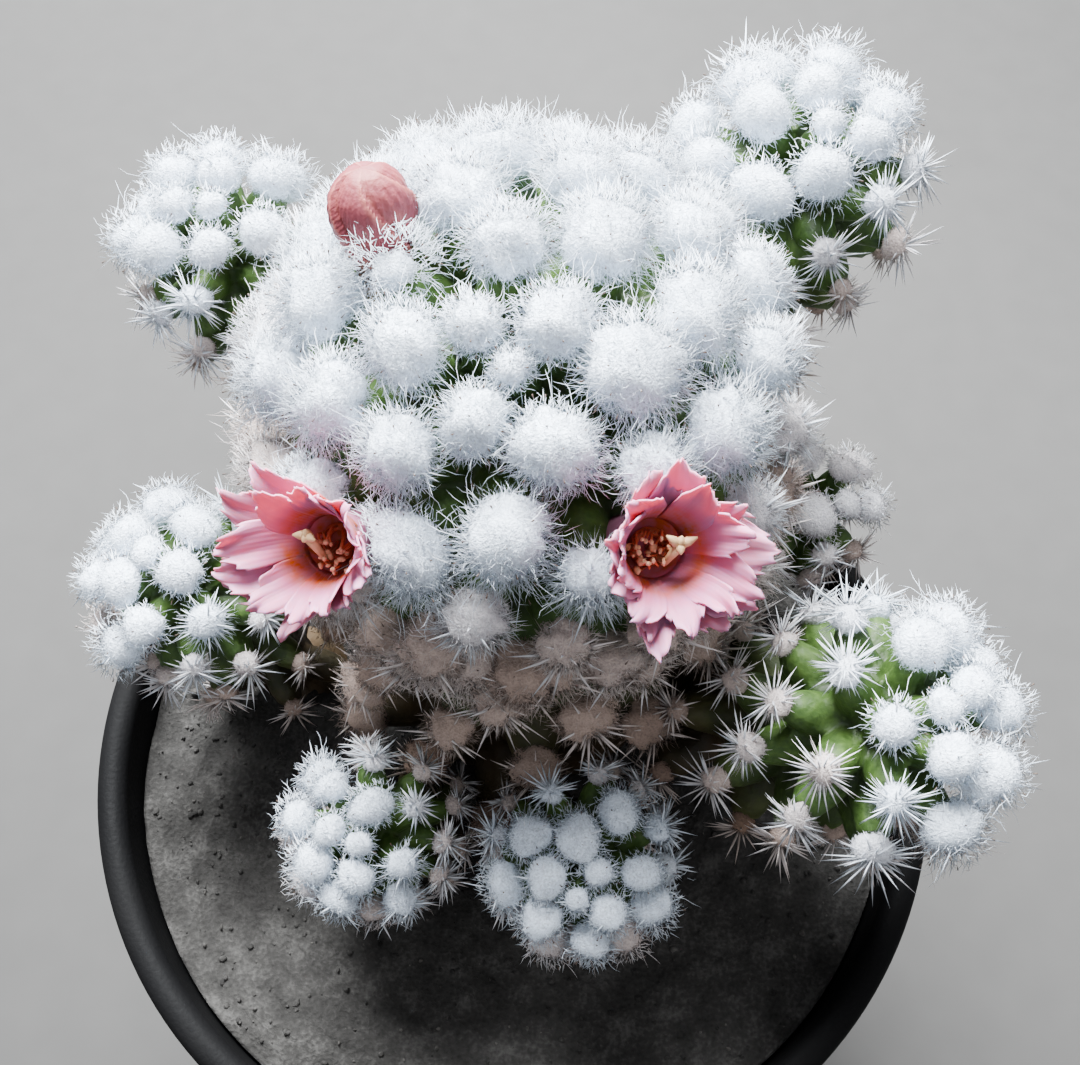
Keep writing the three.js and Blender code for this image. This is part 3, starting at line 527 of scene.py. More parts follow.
def around(count):
    """Angles spaced evenly round a circle."""
    return TAU * np.arange(count) / count


def round_way(turn):
    """The level direction at each angle."""
    return np.stack([np.cos(turn), np.sin(turn), np.zeros(np.shape(turn))], axis=-1)


def joined(parts):
    """One set of points, faces and values made of several."""
    points = np.vstack([p[0] for p in parts])
    starts = np.cumsum([0] + [len(p[0]) for p in parts[:-1]])
    faces = np.vstack([p[1] + s for p, s in zip(parts, starts)])
    values = {key: np.concatenate([p[2][key] for p in parts]) for key in parts[0][2]}
    return points, faces, values


def ball_form(detail):
    ball = bmesh.new()
    bmesh.ops.create_icosphere(ball, subdivisions=detail, radius=1)
    points = np.array([v.co[:] for v in ball.verts])
    faces = np.array([[v.index for v in f.verts] for f in ball.faces])
    ball.free()
    return points, faces


def lathe(profile, sides):
    """A closed body turned about Z from a profile whose ends lie on the axis."""
    profile = np.array(profile, dtype=float)
    inner = profile[1:-1]
    points = inner[:, :1, None] * round_way(around(sides)) + inner[:, 1:, None] * UP
    points = np.vstack([points.reshape(-1, 3), profile[0, 1] * UP, profile[-1, 1] * UP])
    return points, skin_faces(len(inner), sides)[:, ::-1]


def arc(centre, radius, start, end, steps):
    """Points on an arc between two angles in degrees."""
    angles = np.radians(np.linspace(start, end, steps))
    return [(centre[0] + radius * math.cos(a), centre[1] + radius * math.sin(a)) for a in angles]


def tube(line, radii, sides):
    """A closed round tube along a line of points."""
    line = np.asarray(line, dtype=float)
    along = unit(np.gradient(line, axis=0))
    side = square_to(np.array((0.13, 0.97, 0.2)), along)
    other = np.cross(along, side)
    turn = around(sides)[:, None]
    ring = side[:, None] * np.cos(turn) + other[:, None] * np.sin(turn)
    points = (line[:, None] + ring * np.asarray(radii)[:, None, None]).reshape(-1, 3)
    return np.vstack([points, line[0], line[-1]]), skin_faces(len(line), sides)[:, ::-1]


def strands(lines, widths, values):
    """Three-sided closed threads along lines of points, each ending in a point, with their own normals."""
    count, steps = lines.shape[:2]
    along = unit(lines[:, 1] - lines[:, 0])
    side = np.where(np.abs(along[:, 2:]) > 0.8, (1.0, 0.2, 0.0), (0.1, 0.0, 1.0))
    corners, own = [], []
    for step in range(steps - 1):
        along = unit(lines[:, step + 1] - lines[:, max(step - 1, 0)])
        side = square_to(side, along)
        for turn in (0, TAU / 3, 2 * TAU / 3):
            out = turned(side, along, turn)
            corners.append(lines[:, step] + out * widths[:, step, None] / 2)
            own.append(out)
    points = np.stack([*corners, lines[:, -1]], axis=1).reshape(-1, 3)
    own = np.stack([*own, along], axis=1).reshape(-1, 3)
    last = 3 * (steps - 2)
    form = [(0, 2, 1)]
    for ring in range(0, last, 3):
        for i in range(3):
            a, b = ring + i, ring + (i + 1) % 3
            form += [(a, b, b + 3), (a, b + 3, a + 3)]
    form += [(last + i, last + (i + 1) % 3, last + 3) for i in range(3)]
    each = last + 4
    faces = copied_faces(form, each, count)
    spread = {key: np.repeat(value, each) for key, value in values.items()}
    share = np.append(np.repeat(np.arange(steps - 1), 3), steps - 1) / (steps - 1)
    spread["along"] = np.tile(share, count)
    return points, faces, spread, own


# Materials

def add_node(tree, kind, inputs=None, **settings):
    """A shader node with its settings, and its inputs set or linked."""
    node = tree.nodes.new(kind)
    for key, value in settings.items():
        setattr(node, key, value)
    for key, value in (inputs or {}).items():
        socket = node.inputs[key]
        if isinstance(value, bpy.types.NodeSocket):
            tree.links.new(value, socket)
        else:
            socket.default_value = (*value, 1) if socket.type == "RGBA" else value
    return node


def grain_group():
    """A group that gives two scales of grain over a surface, and their mix, as values from 0 to 1."""
    name = "Grain"
    if name in bpy.data.node_groups:
        return bpy.data.node_groups[name]
    group = bpy.data.node_groups.new(name, "ShaderNodeTree")
    for key, default in (("Coarse per metre", 120.0), ("Fine per metre", 1200.0), ("Fine share", 0.5)):
        socket = group.interface.new_socket(key, in_out="INPUT", socket_type="NodeSocketFloat")
        socket.default_value = default
    source = group.nodes.new("NodeGroupInput").outputs
    place = group.nodes.new("ShaderNodeTexCoord").outputs["Object"]
    given = {}
    for key, detail in (("Coarse", 4.0), ("Fine", 3.0)):
        noise = {"Vector": place, "Scale": source[f"{key} per metre"], "Detail": detail}
        given[key] = add_node(group, "ShaderNodeTexNoise", noise).outputs[0]
    both = {0: source["Fine share"], 2: given["Coarse"], 3: given["Fine"]}
    given["Both"] = add_node(group, "ShaderNodeMix", both).outputs[0]
    for key in given:
        group.interface.new_socket(key, in_out="OUTPUT", socket_type="NodeSocketFloat")
    add_node(group, "NodeGroupOutput", given)
    return group


class Paint:
    """A material being made: its tree, its shader and the grain it uses."""

    def __init__(self, name, roughness, **constants):
        self.material = bpy.data.materials.new(name)
        self.material.use_nodes = True
        self.tree = self.material.node_tree
        self.shader = self.tree.nodes["Principled BSDF"]
        self.shader.inputs["Roughness"].default_value = roughness
        for key, value in constants.items():
            self.shader.inputs[key.replace("_", " ")].default_value = value

    def grain(self, coarse, fine, share=0.5):
        """The grain group's outputs: Coarse, Fine and Both."""
        scales = {"Coarse per metre": coarse, "Fine per metre": fine, "Fine share": share}
        return add_node(self.tree, "ShaderNodeGroup", scales, node_tree=grain_group()).outputs

    def place(self):
        """The place on the object, in metres."""
        return add_node(self.tree, "ShaderNodeTexCoord").outputs["Object"]

    def value(self, name):
        """A named value of the mesh's points."""
        return add_node(self.tree, "ShaderNodeAttribute", attribute_name=name).outputs["Fac"]

    def ramp(self, factor, *stops):
        """A colour ramp, from (place, colour) stops."""
        node = add_node(self.tree, "ShaderNodeValToRGB", {"Fac": factor})
        ends = node.color_ramp.elements
        while len(ends) < len(stops):
            ends.new(0.5)
        for end, (place, colour) in zip(ends, stops):
            end.position = place
            end.color = (*colour, 1)
        return node.outputs["Color"]

    def blend(self, factor, first, second, kind="MIX"):
        """Two colours mixed by a factor."""
        inputs = {0: factor, 6: first, 7: second}
        return add_node(self.tree, "ShaderNodeMix", inputs, data_type="RGBA", blend_type=kind).outputs[2]

    def multiply(self, first, second):
        """One colour darkened by another."""
        return self.blend(1.0, first, second, "MULTIPLY")

    def math(self, operation, first, second, clamp=False):
        """A sum of two values."""
        settings = {"operation": operation, "use_clamp": clamp}
        return add_node(self.tree, "ShaderNodeMath", {0: first, 1: second}, **settings).outputs[0]

    def fit(self, value, low, high, to_low=0.0, to_high=1.0):
        """A value moved from one range to another, and kept in it."""
        inputs = {"Value": value, "From Min": low, "From Max": high, "To Min": to_low, "To Max": to_high}
        return add_node(self.tree, "ShaderNodeMapRange", inputs).outputs[0]

    def feed(self, name, socket):
        """Link a value to one of the shader's inputs."""
        self.tree.links.new(socket, self.shader.inputs[name])

    def bump(self, height, strength, distance):
        inputs = {"Height": height, "Strength": strength, "Distance": distance}
        self.feed("Normal", add_node(self.tree, "ShaderNodeBump", inputs).outputs["Normal"])


def spine_material(settings):
    """White spines that go beige and brown with age and with painted shade, each of its own shade, and darker
    at its root as painted shade.
    """
    paint = Paint("Spines", 0.55, Specular_IOR_Level=0.3)
    # The age value carries painted shade as well as withering, so shaded tufts go beige and brown too
    aged_and_shaded = paint.ramp(
        paint.value("age"), (0.0, settings.white), (0.4, (0.72, 0.63, 0.6)), (0.75, (0.5, 0.39, 0.34)),
        (1.0, (0.13, 0.085, 0.065)))
    shade = paint.fit(paint.value("shade"), 0.0, 1.0, 0.86, 1.04)
    # Painted shade: each spine darkens towards its root, where the other spines shade it
    root_shade = paint.math("MULTIPLY", shade, paint.fit(paint.value("along"), 0.0, 0.8, 0.55, 1.0))
    shaded = add_node(paint.tree, "ShaderNodeVectorMath", {0: aged_and_shaded, "Scale": root_shade}, operation="SCALE")
    paint.feed("Base Color", shaded.outputs[0])
    return paint.material


def wool_material(settings):
    """The felt at the heart of a tuft, which thins out towards its outline."""
    paint = Paint("Wool", 0.9, Specular_IOR_Level=0.1)
    grain = paint.grain(900.0, 5000.0, 0.6)
    # The age value carries painted shade as well as withering, so the felt of shaded tufts goes beige and
    # brown too
    aged_and_shaded = paint.ramp(
        paint.value("age"), (0.0, settings.white), (0.3, (0.66, 0.57, 0.54)), (0.6, (0.5, 0.385, 0.33)),
        (1.0, (0.26, 0.17, 0.125)))
    dark = paint.ramp(grain["Both"], (0.3, (0.5, 0.5, 0.52)), (0.6, (1, 1, 1)))
    paint.feed("Base Color", paint.multiply(aged_and_shaded, dark))
    facing = add_node(paint.tree, "ShaderNodeLayerWeight", {"Blend": 0.5}).outputs["Facing"]
    solid = paint.fit(facing, 0.12, 0.7, 2.0, 0.0)
    paint.feed("Alpha", paint.math("SUBTRACT", solid, paint.fit(grain["Fine"], 0.35, 0.62), clamp=True))
    paint.bump(grain["Fine"], 0.6, 0.0003)
    return paint.material


def flesh_material(settings):
    """Green flesh with painted shade in the grooves, streaked, and corky brown on the oldest part."""
    paint = Paint("Flesh", 0.5, Specular_IOR_Level=0.28)
    grain = paint.grain(260.0, 1900.0, 0.45)
    green = paint.ramp(
        grain["Both"], (0.3, settings.green_dark), (0.5, settings.green), (0.68, settings.green_light))
    # Painted shade: the flesh darkens towards the bottom of each groove
    groove_shade = paint.ramp(
        paint.value("groove_shade"), (0.0, (1, 1, 1)), (0.55, (0.8, 0.8, 0.75)), (1.0, (0.28, 0.31, 0.17)))
    cork = paint.ramp(grain["Coarse"], (0.35, (0.018, 0.011, 0.006)), (0.65, (0.062, 0.036, 0.019)))
    corky = paint.fit(paint.value("age"), 0.15, 0.7, 0.0, 0.9)
    paint.feed("Base Color", paint.blend(corky, paint.multiply(green, groove_shade), cork))
    paint.feed("Roughness", paint.fit(grain["Fine"], 0.3, 0.7, 0.42, 0.66))
    paint.bump(grain["Both"], 0.5, 0.0004)
    return paint.material


def pot_material(settings):
    """Moulded dark plastic with fine grain, dusty on the wall and cleaner on the lip; the dust also stands as
    painted light that lifts the shaded wall above the dark lip.
    """
    paint = Paint("Pot plastic", 0.6, Specular_IOR_Level=0.05)
    grain = paint.grain(70.0, 2600.0, 0.4)
    height = add_node(paint.tree, "ShaderNodeSeparateXYZ", {0: paint.place()}).outputs["Z"]
    # Painted light: the dust colour is laid mostly on the wall below the lip, lifting the shaded wall, while
    # the lip stays dark
    wall = paint.fit(height, (LIP_BOTTOM - 1) * MM, LIP_BOTTOM * MM, 1.0, 0.12)
    dust_and_wall_light = paint.math("MULTIPLY", paint.fit(grain["Coarse"], 0.35, 0.68, 0.15, 0.8), wall)
    paint.feed("Base Color", paint.blend(dust_and_wall_light, settings.pot, settings.dust_and_light))
    paint.feed("Roughness", paint.fit(grain["Both"], 0.3, 0.7, 0.55, 0.78))
    paint.bump(grain["Fine"], 0.25, 0.0002)
    return paint.material


def soil_material(settings):
    """Dark, dry, fine soil: crumbs of several greys."""
    paint = Paint("Soil", 0.95, Specular_IOR_Level=0.2)
    both = paint.grain(330.0, 2400.0, 0.4)["Both"]
    dirt = paint.ramp(both, (0.3, settings.soil_dark), (0.52, settings.soil), (0.72, settings.soil_light))
    shade = paint.ramp(
        paint.value("shade"), (0.0, (0.55, 0.54, 0.53)), (0.8, (1.1, 1.08, 1.05)), (1.0, (2.2, 2.1, 2.0)))
    paint.feed("Base Color", paint.multiply(dirt, shade))
    paint.bump(both, 0.9, 0.0006)
    return paint.material


def petal_material(name, settings, seen_through, shine):
    """Thin pink petals: orange-red in the throat, whitish at the edges, with fine veins along them."""
    paint = Paint(
        name, 0.55, Specular_IOR_Level=shine, Subsurface_Weight=seen_through, Subsurface_Scale=0.0007)
    along = paint.value("along")
    base = paint.ramp(
        along, (0.0, settings.throat), (0.28, settings.throat_mouth), (0.42, settings.petal_deep),
        (0.56, settings.petal), (0.85, settings.petal_edge))
    grain = paint.grain(330.0, 1500.0, 0.5)
    flat = add_node(paint.tree, "ShaderNodeCombineXYZ", {0: paint.value("across"), 1: along}).outputs[0]
    wave = {"Vector": flat, "Scale": 1.6, "Distortion": 3.5, "Detail": 3.0, "Detail Scale": 1.5}
    veins = add_node(paint.tree, "ShaderNodeTexWave", wave, bands_direction="X").outputs["Fac"]
    open_part = paint.fit(along, 0.4, 0.6)
    pale = paint.math("MULTIPLY", paint.value("outer"), open_part)
    white = paint.math("MULTIPLY", paint.fit(paint.value("edge"), 0.3, 1.0, 0.0, 0.32), open_part)
    colour = base
    for share, layer in (
        (paint.fit(veins, 0.3, 1.0, 0.0, 0.14), settings.petal_deep),
        (paint.fit(grain["Coarse"], 0.48, 0.66, 0.0, 0.8), settings.petal_flush),
        (paint.fit(grain["Both"], 0.36, 0.54, 0.6, 0.0), settings.petal_edge),
        (pale, settings.petal_outer),
        (white, settings.petal_rim),
    ):
        colour = paint.blend(share, colour, layer)
    paint.feed("Base Color", colour)
    paint.bump(veins, 0.08, 0.0002)
    return paint.material


def bud_material(settings):
    """A reddish bud: painted shade under each petal's free edge, pale along it, mottled, and greenish at
    its foot.
    """
    paint = Paint("Bud", 0.6, Specular_IOR_Level=0.35)
    grain = paint.grain(420.0, 1900.0, 0.45)
    # Painted shade: the darkest stop lies just under the next petal's free edge
    colour = paint.ramp(
        paint.value("lap"), (0.0, (0.1, 0.015, 0.012)), (0.15, settings.bud), (0.8, settings.bud),
        (0.96, (0.36, 0.1, 0.09)), (1.0, (0.44, 0.16, 0.14)))
    for share, layer in (
        (paint.fit(grain["Both"], 0.38, 0.66, 0.0, 0.6), (0.16, 0.022, 0.018)),
        (paint.fit(grain["Coarse"], 0.5, 0.75, 0.0, 0.5), (0.36, 0.1, 0.09)),
        (paint.fit(paint.value("high"), 0.35, 0.62, 1.0, 0.0), (0.35, 0.26, 0.16)),
    ):
        colour = paint.blend(share, colour, layer)
    paint.feed("Base Color", colour)
    paint.bump(grain["Both"], 0.6, 0.0004)
    return paint.material


def plain_material(name, low, high, roughness):
    """A small organ's finish: two colours mottled together, with a fine bump."""
    paint = Paint(name, roughness)
    grain = paint.grain(400.0, 2500.0, 0.5)
    paint.feed("Base Color", paint.ramp(grain["Both"], (0.3, low), (0.7, high)))
    paint.bump(grain["Fine"], 0.3, 0.0001)
    return paint.material


def floor_material(settings):
    """A plain floor with painted shade that makes it a little darker to the left and in front, and paler
    far off.
    """
    paint = Paint("Floor", 0.85, Specular_IOR_Level=0.2)
    low, high, far = (tuple(share * c for c in settings.floor) for share in (0.9, 1.08, 6))
    mottled = paint.ramp(paint.grain(9.0, 160.0, 0.35)["Both"], (0.3, low), (0.7, high))
    place = paint.place()
    sides = add_node(paint.tree, "ShaderNodeSeparateXYZ", {0: place}).outputs
    # Painted shade: the floor darkens towards the left and the front
    across = paint.fit(paint.math("ADD", sides[0], sides[1]), -0.25, 0.15)
    shaded = paint.multiply(mottled, paint.ramp(across, (0.0, (0.73, 0.73, 0.73)), (1.0, (1, 1, 1))))
    away = add_node(paint.tree, "ShaderNodeVectorMath", {0: place}, operation="LENGTH").outputs["Value"]
    paint.feed("Base Color", paint.blend(paint.fit(away, 0.3, 1.6), shaded, far))
    return paint.material


# Pieces

def pot_profile():
    """The pot's section: up the outside, over the lip, and down the inside."""
    foot_round = 0.8
    profile = [(0, 0), (FOOT_RADIUS - 6, 0)]
    profile += arc((FOOT_RADIUS - foot_round, foot_round), foot_round, 270, 350, 4)
    profile += [
        (mix(FOOT_RADIUS, WALL_TOP_RADIUS, s), mix(foot_round, LIP_BOTTOM, s)) for s in (0.1, 0.4, 0.7, 0.97)]
    profile += arc((RIM_RADIUS - 1.0, LIP_BOTTOM + 1.2), 0.95, 300, 360, 4)
    profile += [(RIM_RADIUS, LIP_BOTTOM + 4)]
    profile += arc((RIM_RADIUS - LIP_ROUND, POT_TOP - LIP_ROUND), LIP_ROUND, 5, 90, 6)
    profile += arc((INNER_RIM + LIP_ROUND, POT_TOP - LIP_ROUND), LIP_ROUND, 95, 180, 6)
    profile += [(BEND_RADIUS, BEND_LEVEL), (FOOT_RADIUS - WALL, FLOOR_TOP), (0, FLOOR_TOP)]
    return profile


def cut_drains(pot):
    """Drain holes through the floor."""
    top = FLOOR_TOP + 1
    points, faces = lathe([(0, -1), (DRAIN_RADIUS, -1), (DRAIN_RADIUS, top), (0, top)], DRAIN_SIDES)
    for turn in TAU * (np.arange(DRAIN_HOLES) + 0.5) / DRAIN_HOLES:
        cutter = write_mesh("drain", points + DRAIN_FROM_AXIS * round_way(turn), faces, smooth=False)
        cut = pot.modifiers.new("drain", "BOOLEAN")
        cut.object = cutter
        cut.operation = "DIFFERENCE"
        cut.solver = "EXACT"
        shaped = bpy.data.meshes.new_from_object(pot.evaluated_get(bpy.context.evaluated_depsgraph_get()))
        pot.modifiers.remove(cut)
        old = pot.data
        pot.data = shaped
        bpy.data.meshes.remove(old)
        bpy.data.objects.remove(cutter)


def inner_radius(z):
    """The radius inside the pot at a level."""
    if z > BEND_LEVEL:
        return mix(BEND_RADIUS, INNER_RIM, (z - BEND_LEVEL) / (LIP_HEIGHT + BEND_BELOW_LIP - LIP_ROUND))
    return mix(FOOT_RADIUS - WALL, BEND_RADIUS, (z - FLOOR_TOP) / (BEND_LEVEL - FLOOR_TOP))


def soil_height(x, y):
    """The level of the soil at a place: long swells and short lumps."""
    waves = np.sin(x * 0.31 + 1.3) + np.sin(y * 0.27 - x * 0.11) + np.sin(x * 0.13 + y * 0.4 + 2)
    small = np.sin(x * 1.9 + y * 0.7) * np.sin(y * 1.7 - x * 0.4)
    return SOIL_LEVEL + SOIL_RELIEF * waves / 3 + 0.16 * small


def soil_bed(rng):
    """The soil that fills the pot, rough on top."""
    rings, sides = SOIL_GRID
    floor = FLOOR_TOP + CLEARANCE
    edge = inner_radius(SOIL_LEVEL) - CLEARANCE
    radius = edge * np.sqrt(np.linspace(0.0004, 1, rings))[:, None]
    way = round_way(around(sides))
    x, y, _ = np.moveaxis(radius[..., None] * way, -1, 0)
    rough = rng.normal(0, 0.09, x.shape) * (radius < edge * 0.995)
    top = np.stack([x, y, soil_height(x, y) + rough], axis=-1).reshape(-1, 3)
    walls = [(inner_radius(z) - CLEARANCE) * way + z * UP for z in (BEND_LEVEL, floor)]
    points = np.vstack([top, *walls, soil_height(0, 0) * UP, floor * UP])
    return points, skin_faces(rings + 2, sides), {"shade": np.full(len(points), 0.45)}


def soil_grit(rng, count, low, high, form, form_faces):
    """Crumbs and grains half sunk in the soil, from one form."""
    edge = inner_radius(SOIL_LEVEL) - 1.2
    radius = edge * np.sqrt(rng.random(count))
    x, y, _ = (radius[:, None] * round_way(TAU * rng.random(count))).T
    size = low + (high - low) * rng.random(count) ** 2.5
    wobble = rng.uniform(0.7, 1.25, (count, len(form), 1))
    squash = rng.uniform(0.6, 1.2, (count, 1, 3)) * (1, 1, 0.75)
    points = form[None] * wobble * squash * size[:, None, None]
    points += np.stack([x, y, soil_height(x, y) + size * 0.2], axis=-1)[:, None]
    shade = np.repeat(rng.random(count), len(form))
    return points.reshape(-1, 3), copied_faces(form_faces, len(form), count), {"shade": shade}


def flesh_form(stem, rows, columns):
    """The stem's flesh: a fine skin that sinks from each tubercle's tip into the grooves."""
    spec = stem["spec"]
    tubercles = stem["tubercles"]
    spacing = spec["spacing"]
    run = np.linspace(0.02, 1, rows) * stem["run"][-1]
    area = np.interp(run, stem["run"], stem["area"])[:, None] * np.ones((1, columns))
    turn = TAU * (np.arange(columns)[None] + 0.5 * (np.arange(rows)[:, None] % 2)) / columns
    point, normal = skin_at(stem, area.ravel(), turn.ravel())
    standing = np.flatnonzero(tubercles["stands"])
    reach = 0.5 * spacing * np.clip(tubercles["size"], 0.5, 1) * (1 + 0.2 * tubercles["age"])
    near = np.linalg.norm(point[:, None] - tubercles["point"][None, standing], axis=2) / reach[standing]
    nearest = standing[near.argmin(axis=1)]
    sink = smooth_step(0.2, 1.2, near.min(axis=1)) ** 0.9
    wave = np.sin(point[:, 0] * 1.7 + point[:, 2]) * np.sin(point[:, 1] * 1.9 + 1) * 0.14
    depth = np.maximum(tubercles["depth"][nearest], spacing * 0.35)
    skin = point - normal * (sink * depth + 0.35 + wave * sink)[:, None]
    cap_run = stem["run"][CAP_STEPS]
    age = np.repeat(np.clip((run - cap_run) / (run[-1] - cap_run), 0, 1), columns)
    axis = -stem["inward"]
    ring = turned(square_to(stem["side"][-1], axis), axis, around(columns))
    neck = [stem["foot"] + axis * (stem["sunk"] * s) + ring * spec["neck"] * 0.98 for s in (1.0, 0.02)]
    tip = stem["centre"][0] - stem["axis"][0] * 0.5
    foot = np.ones(2 * columns)
    # How deep each point sinks into a groove, kept for the flesh's painted shade
    return np.vstack([skin, *neck, tip, stem["foot"]]), skin_faces(rows + 2, columns), {
        "groove_shade": np.concatenate([sink, foot, (0, 1)]), "age": np.concatenate([age, foot, (0, 1)])}


def angle_between(normals, direction):
    return np.degrees(np.arccos(np.clip(normals @ direction, -1, 1)))


def tuft_looks(stem, rng):
    """How grown each tuft is and how withered and shaded, from 0 to 1: soft and white on the soft side,
    starry and beige on the far side and underneath, the beige there partly painted shade."""
    tubercles = stem["tubercles"]
    from_soft = angle_between(tubercles["normal"], leaning(stem["spec"]["soft"]))
    from_up = angle_between(tubercles["normal"], UP)
    grown = smooth_step(66, 86, from_soft + rng.normal(0, 4, len(from_soft)))
    if stem["name"] == "stem_main":
        shaded = 0.62 * smooth_step(64, 96, from_up)
        grown = grown * (1 - 0.8 * smooth_step(86, 102, from_up))
    else:
        shaded = 0.55 * smooth_step(84, 122, from_up) + 0.3 * smooth_step(78, 112, from_soft)
    # Withering by age, plus painted shade underneath, away from the soft side and, where given, a warm
    # painted shade
    wither_and_shade = shaded + 0.4 * smooth_step(0.05, 0.7, tubercles["age"]) + stem["spec"].get("aged_and_shaded", 0)
    return grown, np.clip(wither_and_shade * rng.uniform(0.7, 1.15, len(wither_and_shade)), 0, 1)


def spray(rng, count, normal, widest):
    """Directions spread evenly about a normal, out to an angle from it."""
    cosine = 1 - (1 - math.cos(widest)) * (np.arange(count) + rng.random(count)) / count
    sine = np.sqrt(1 - cosine**2)
    angle = GOLDEN_ANGLE * np.arange(count) + rng.normal(0, 0.25, count)
    return normal * cosine[:, None] + turned(square_to(TURN_FROM, normal), normal, angle) * sine[:, None]


def any_way(rng, count):
    """Directions spread at random all round."""
    return unit(rng.normal(0, 1, (count, 3)))


def bent_lines(rng, roots, direction, length, steps, curl):
    """Lines that start along a direction and turn a little at each step."""
    points = [roots]
    for _ in range(steps):
        points.append(points[-1] + direction * (length / steps)[:, None])
        direction = unit(direction + any_way(rng, len(roots)) * curl)
    return np.stack(points, axis=1)


class Tuft:
    """One areole's tuft of spines: a white ball of fine hair when young, a beige star when grown."""

    def __init__(self, stem, rng, index, grown, wither_and_shade):
        tubercles = stem["tubercles"]
        self.stem = stem
        self.rng = rng
        self.wither_and_shade = wither_and_shade
        self.normal = tubercles["normal"][index]
        self.reach = tubercles["tuft"][index] * stem["spec"].get("full", FULLNESS) * rng.uniform(0.88, 1.12)
        if stem["name"] == "stem_main":
            from_tip = angle_between(self.normal, stem["axis"][0])
            self.reach *= mix(1.08, 0.98, smooth_step(15, 60, from_tip)) * mix(1, 1.06, wither_and_shade)
            self.bare = 0.4 * grown
        else:
            self.reach *= mix(1.12, 1, grown) * (1 - 0.16 * wither_and_shade)
            self.bare = grown
        self.side = turned(square_to(TURN_FROM, self.normal), self.normal, rng.uniform(0, TAU))
        shift = self.side * rng.normal(0, 0.07) + self.normal * 0.02
        self.heart = tubercles["point"][index] + shift * self.reach
        self.stretch = rng.uniform(-0.08, 0.24)
        self.flatten = rng.uniform(-0.16, 0.0)
        self.phase = rng.uniform(0, TAU)
        self.threads = []

    def swell(self, away):
        """Directions made longer across the tuft, shorter along its axis, and lumpy."""
        lumps = np.sin(away @ (3.9, 3.1, 2.7) + self.phase)
        lumps = lumps * np.sin(away @ (2.6, -4.2, 3.4) + 1.7 * self.phase)
        across = (away @ self.side)[:, None] * self.side
        upward = (away @ self.normal)[:, None] * self.normal
        return away * (1 + 0.11 * lumps)[:, None] + across * self.stretch + upward * self.flatten

    def leaning_out(self, angle, lift):
        """Directions at an angle round the tuft's axis and at a lift from it."""
        lift = lift[:, None]
        return self.normal * np.cos(lift) + turned(self.side, self.normal, angle) * np.sin(lift)

    def add(self, lines, widths, age, softness):
        """Keep the threads whose tips lie clear of the other stems' flesh and of the blooms."""
        tips = lines[:, -1]
        keep = (room_at(tips, self.stem["others"]) > -0.2) & (room_at(tips, self.stem["blooms"]) > 0.1)
        count = keep.sum()
        if not count:
            return
        self.threads.append({
            "lines": lines[keep],
            "widths": widths[keep, None] * np.linspace(1, 0.8, lines.shape[1] - 1),
            "age": np.clip(age + self.rng.normal(0, 0.05, count), 0, 1),
            "shade": self.rng.random(count),
            "heart": np.repeat(self.heart[None], count, axis=0),
            "softness": np.full(count, softness),
        })

    def hairs(self, count, width, stray, root_shade, length, shrunk, thick, steps, curl, softness):
        """Fine spines all over the tuft, each with its own way, root, length and width."""
        rng = self.rng
        away = spray(rng, count, self.normal, HAIR_SPREAD)
        direction = unit(away + any_way(rng, count) * stray)
        roots = self.heart + self.swell(away) * self.reach * rng.uniform(*root_shade, (count, 1))
        length = self.reach * rng.uniform(*length, count) * shrunk
        widths = rng.uniform(*thick, count) * width
        self.add(bent_lines(rng, roots, direction, length, steps, curl), widths, self.wither_and_shade, softness)

    def fluff(self, count, width):
        """Short fine spines that lie every way."""
        bare = self.bare
        self.hairs(
            count, width, stray=mix(0.8, 0.3, bare), root_shade=(mix(0.56, 0.25, bare), mix(0.85, 0.45, bare)),
            length=(0.14, mix(0.32, 0.55, bare)), shrunk=mix(1, 0.6, self.wither_and_shade), thick=(0.75, 1.2),
            steps=1, curl=0, softness=0.7)

    def curls(self, count, width):
        """Curved fine spines that stand out of the fluff."""
        self.hairs(
            count, width, stray=0.9, root_shade=(0.62, 0.88), length=(0.2, 0.46), shrunk=1, thick=(0.5, 0.8),
            steps=2, curl=1.0, softness=0.5)

    def wisps(self, count, width):
        """Long thin wavy spines that cross the gaps between tufts."""
        angle = TAU * self.rng.random(count)
        away = self.leaning_out(angle, np.radians(self.rng.uniform(50, 100, count)))
        direction = unit(away + any_way(self.rng, count) * 0.5)
        roots = self.heart + self.swell(away) * self.reach * 0.7
        length = self.reach * self.rng.uniform(0.55, 0.95, count)
        lines = bent_lines(self.rng, roots, direction, length, 3, 0.5)
        self.add(lines, np.full(count, 0.62 * width), self.wither_and_shade, 0.4)

    def star(self, count, width):
        """Longer straight spines that lie round a grown tuft."""
        angle = TAU * (np.arange(count) + self.rng.uniform(-0.3, 0.3, count)) / count
        away = self.leaning_out(angle, np.radians(98 - 62 * self.rng.random(count) ** 1.6))
        roots = self.heart + self.normal * self.reach * 0.15 + away * self.reach * 0.12
        length = self.reach * self.rng.uniform(0.75, 1.15, count)
        widths = self.rng.uniform(0.8, 1.1, count) * width
        self.add(bent_lines(self.rng, roots, away, length, 2, 0.06), widths, 0.6 * self.wither_and_shade, 0.2)

    def specks(self, count):
        """Dark blunt ends of a few spines among the fluff."""
        away = spray(self.rng, count, self.normal, SPECK_SPREAD)
        ends = self.heart + self.swell(away) * self.reach * self.rng.uniform(0.9, 1.04, (count, 1))
        lines = bent_lines(self.rng, ends, -away, np.full(count, SPECK_LENGTH), 1, 0)
        self.add(lines, np.full(count, SPECK_WIDTH), 1.0, 0.5)

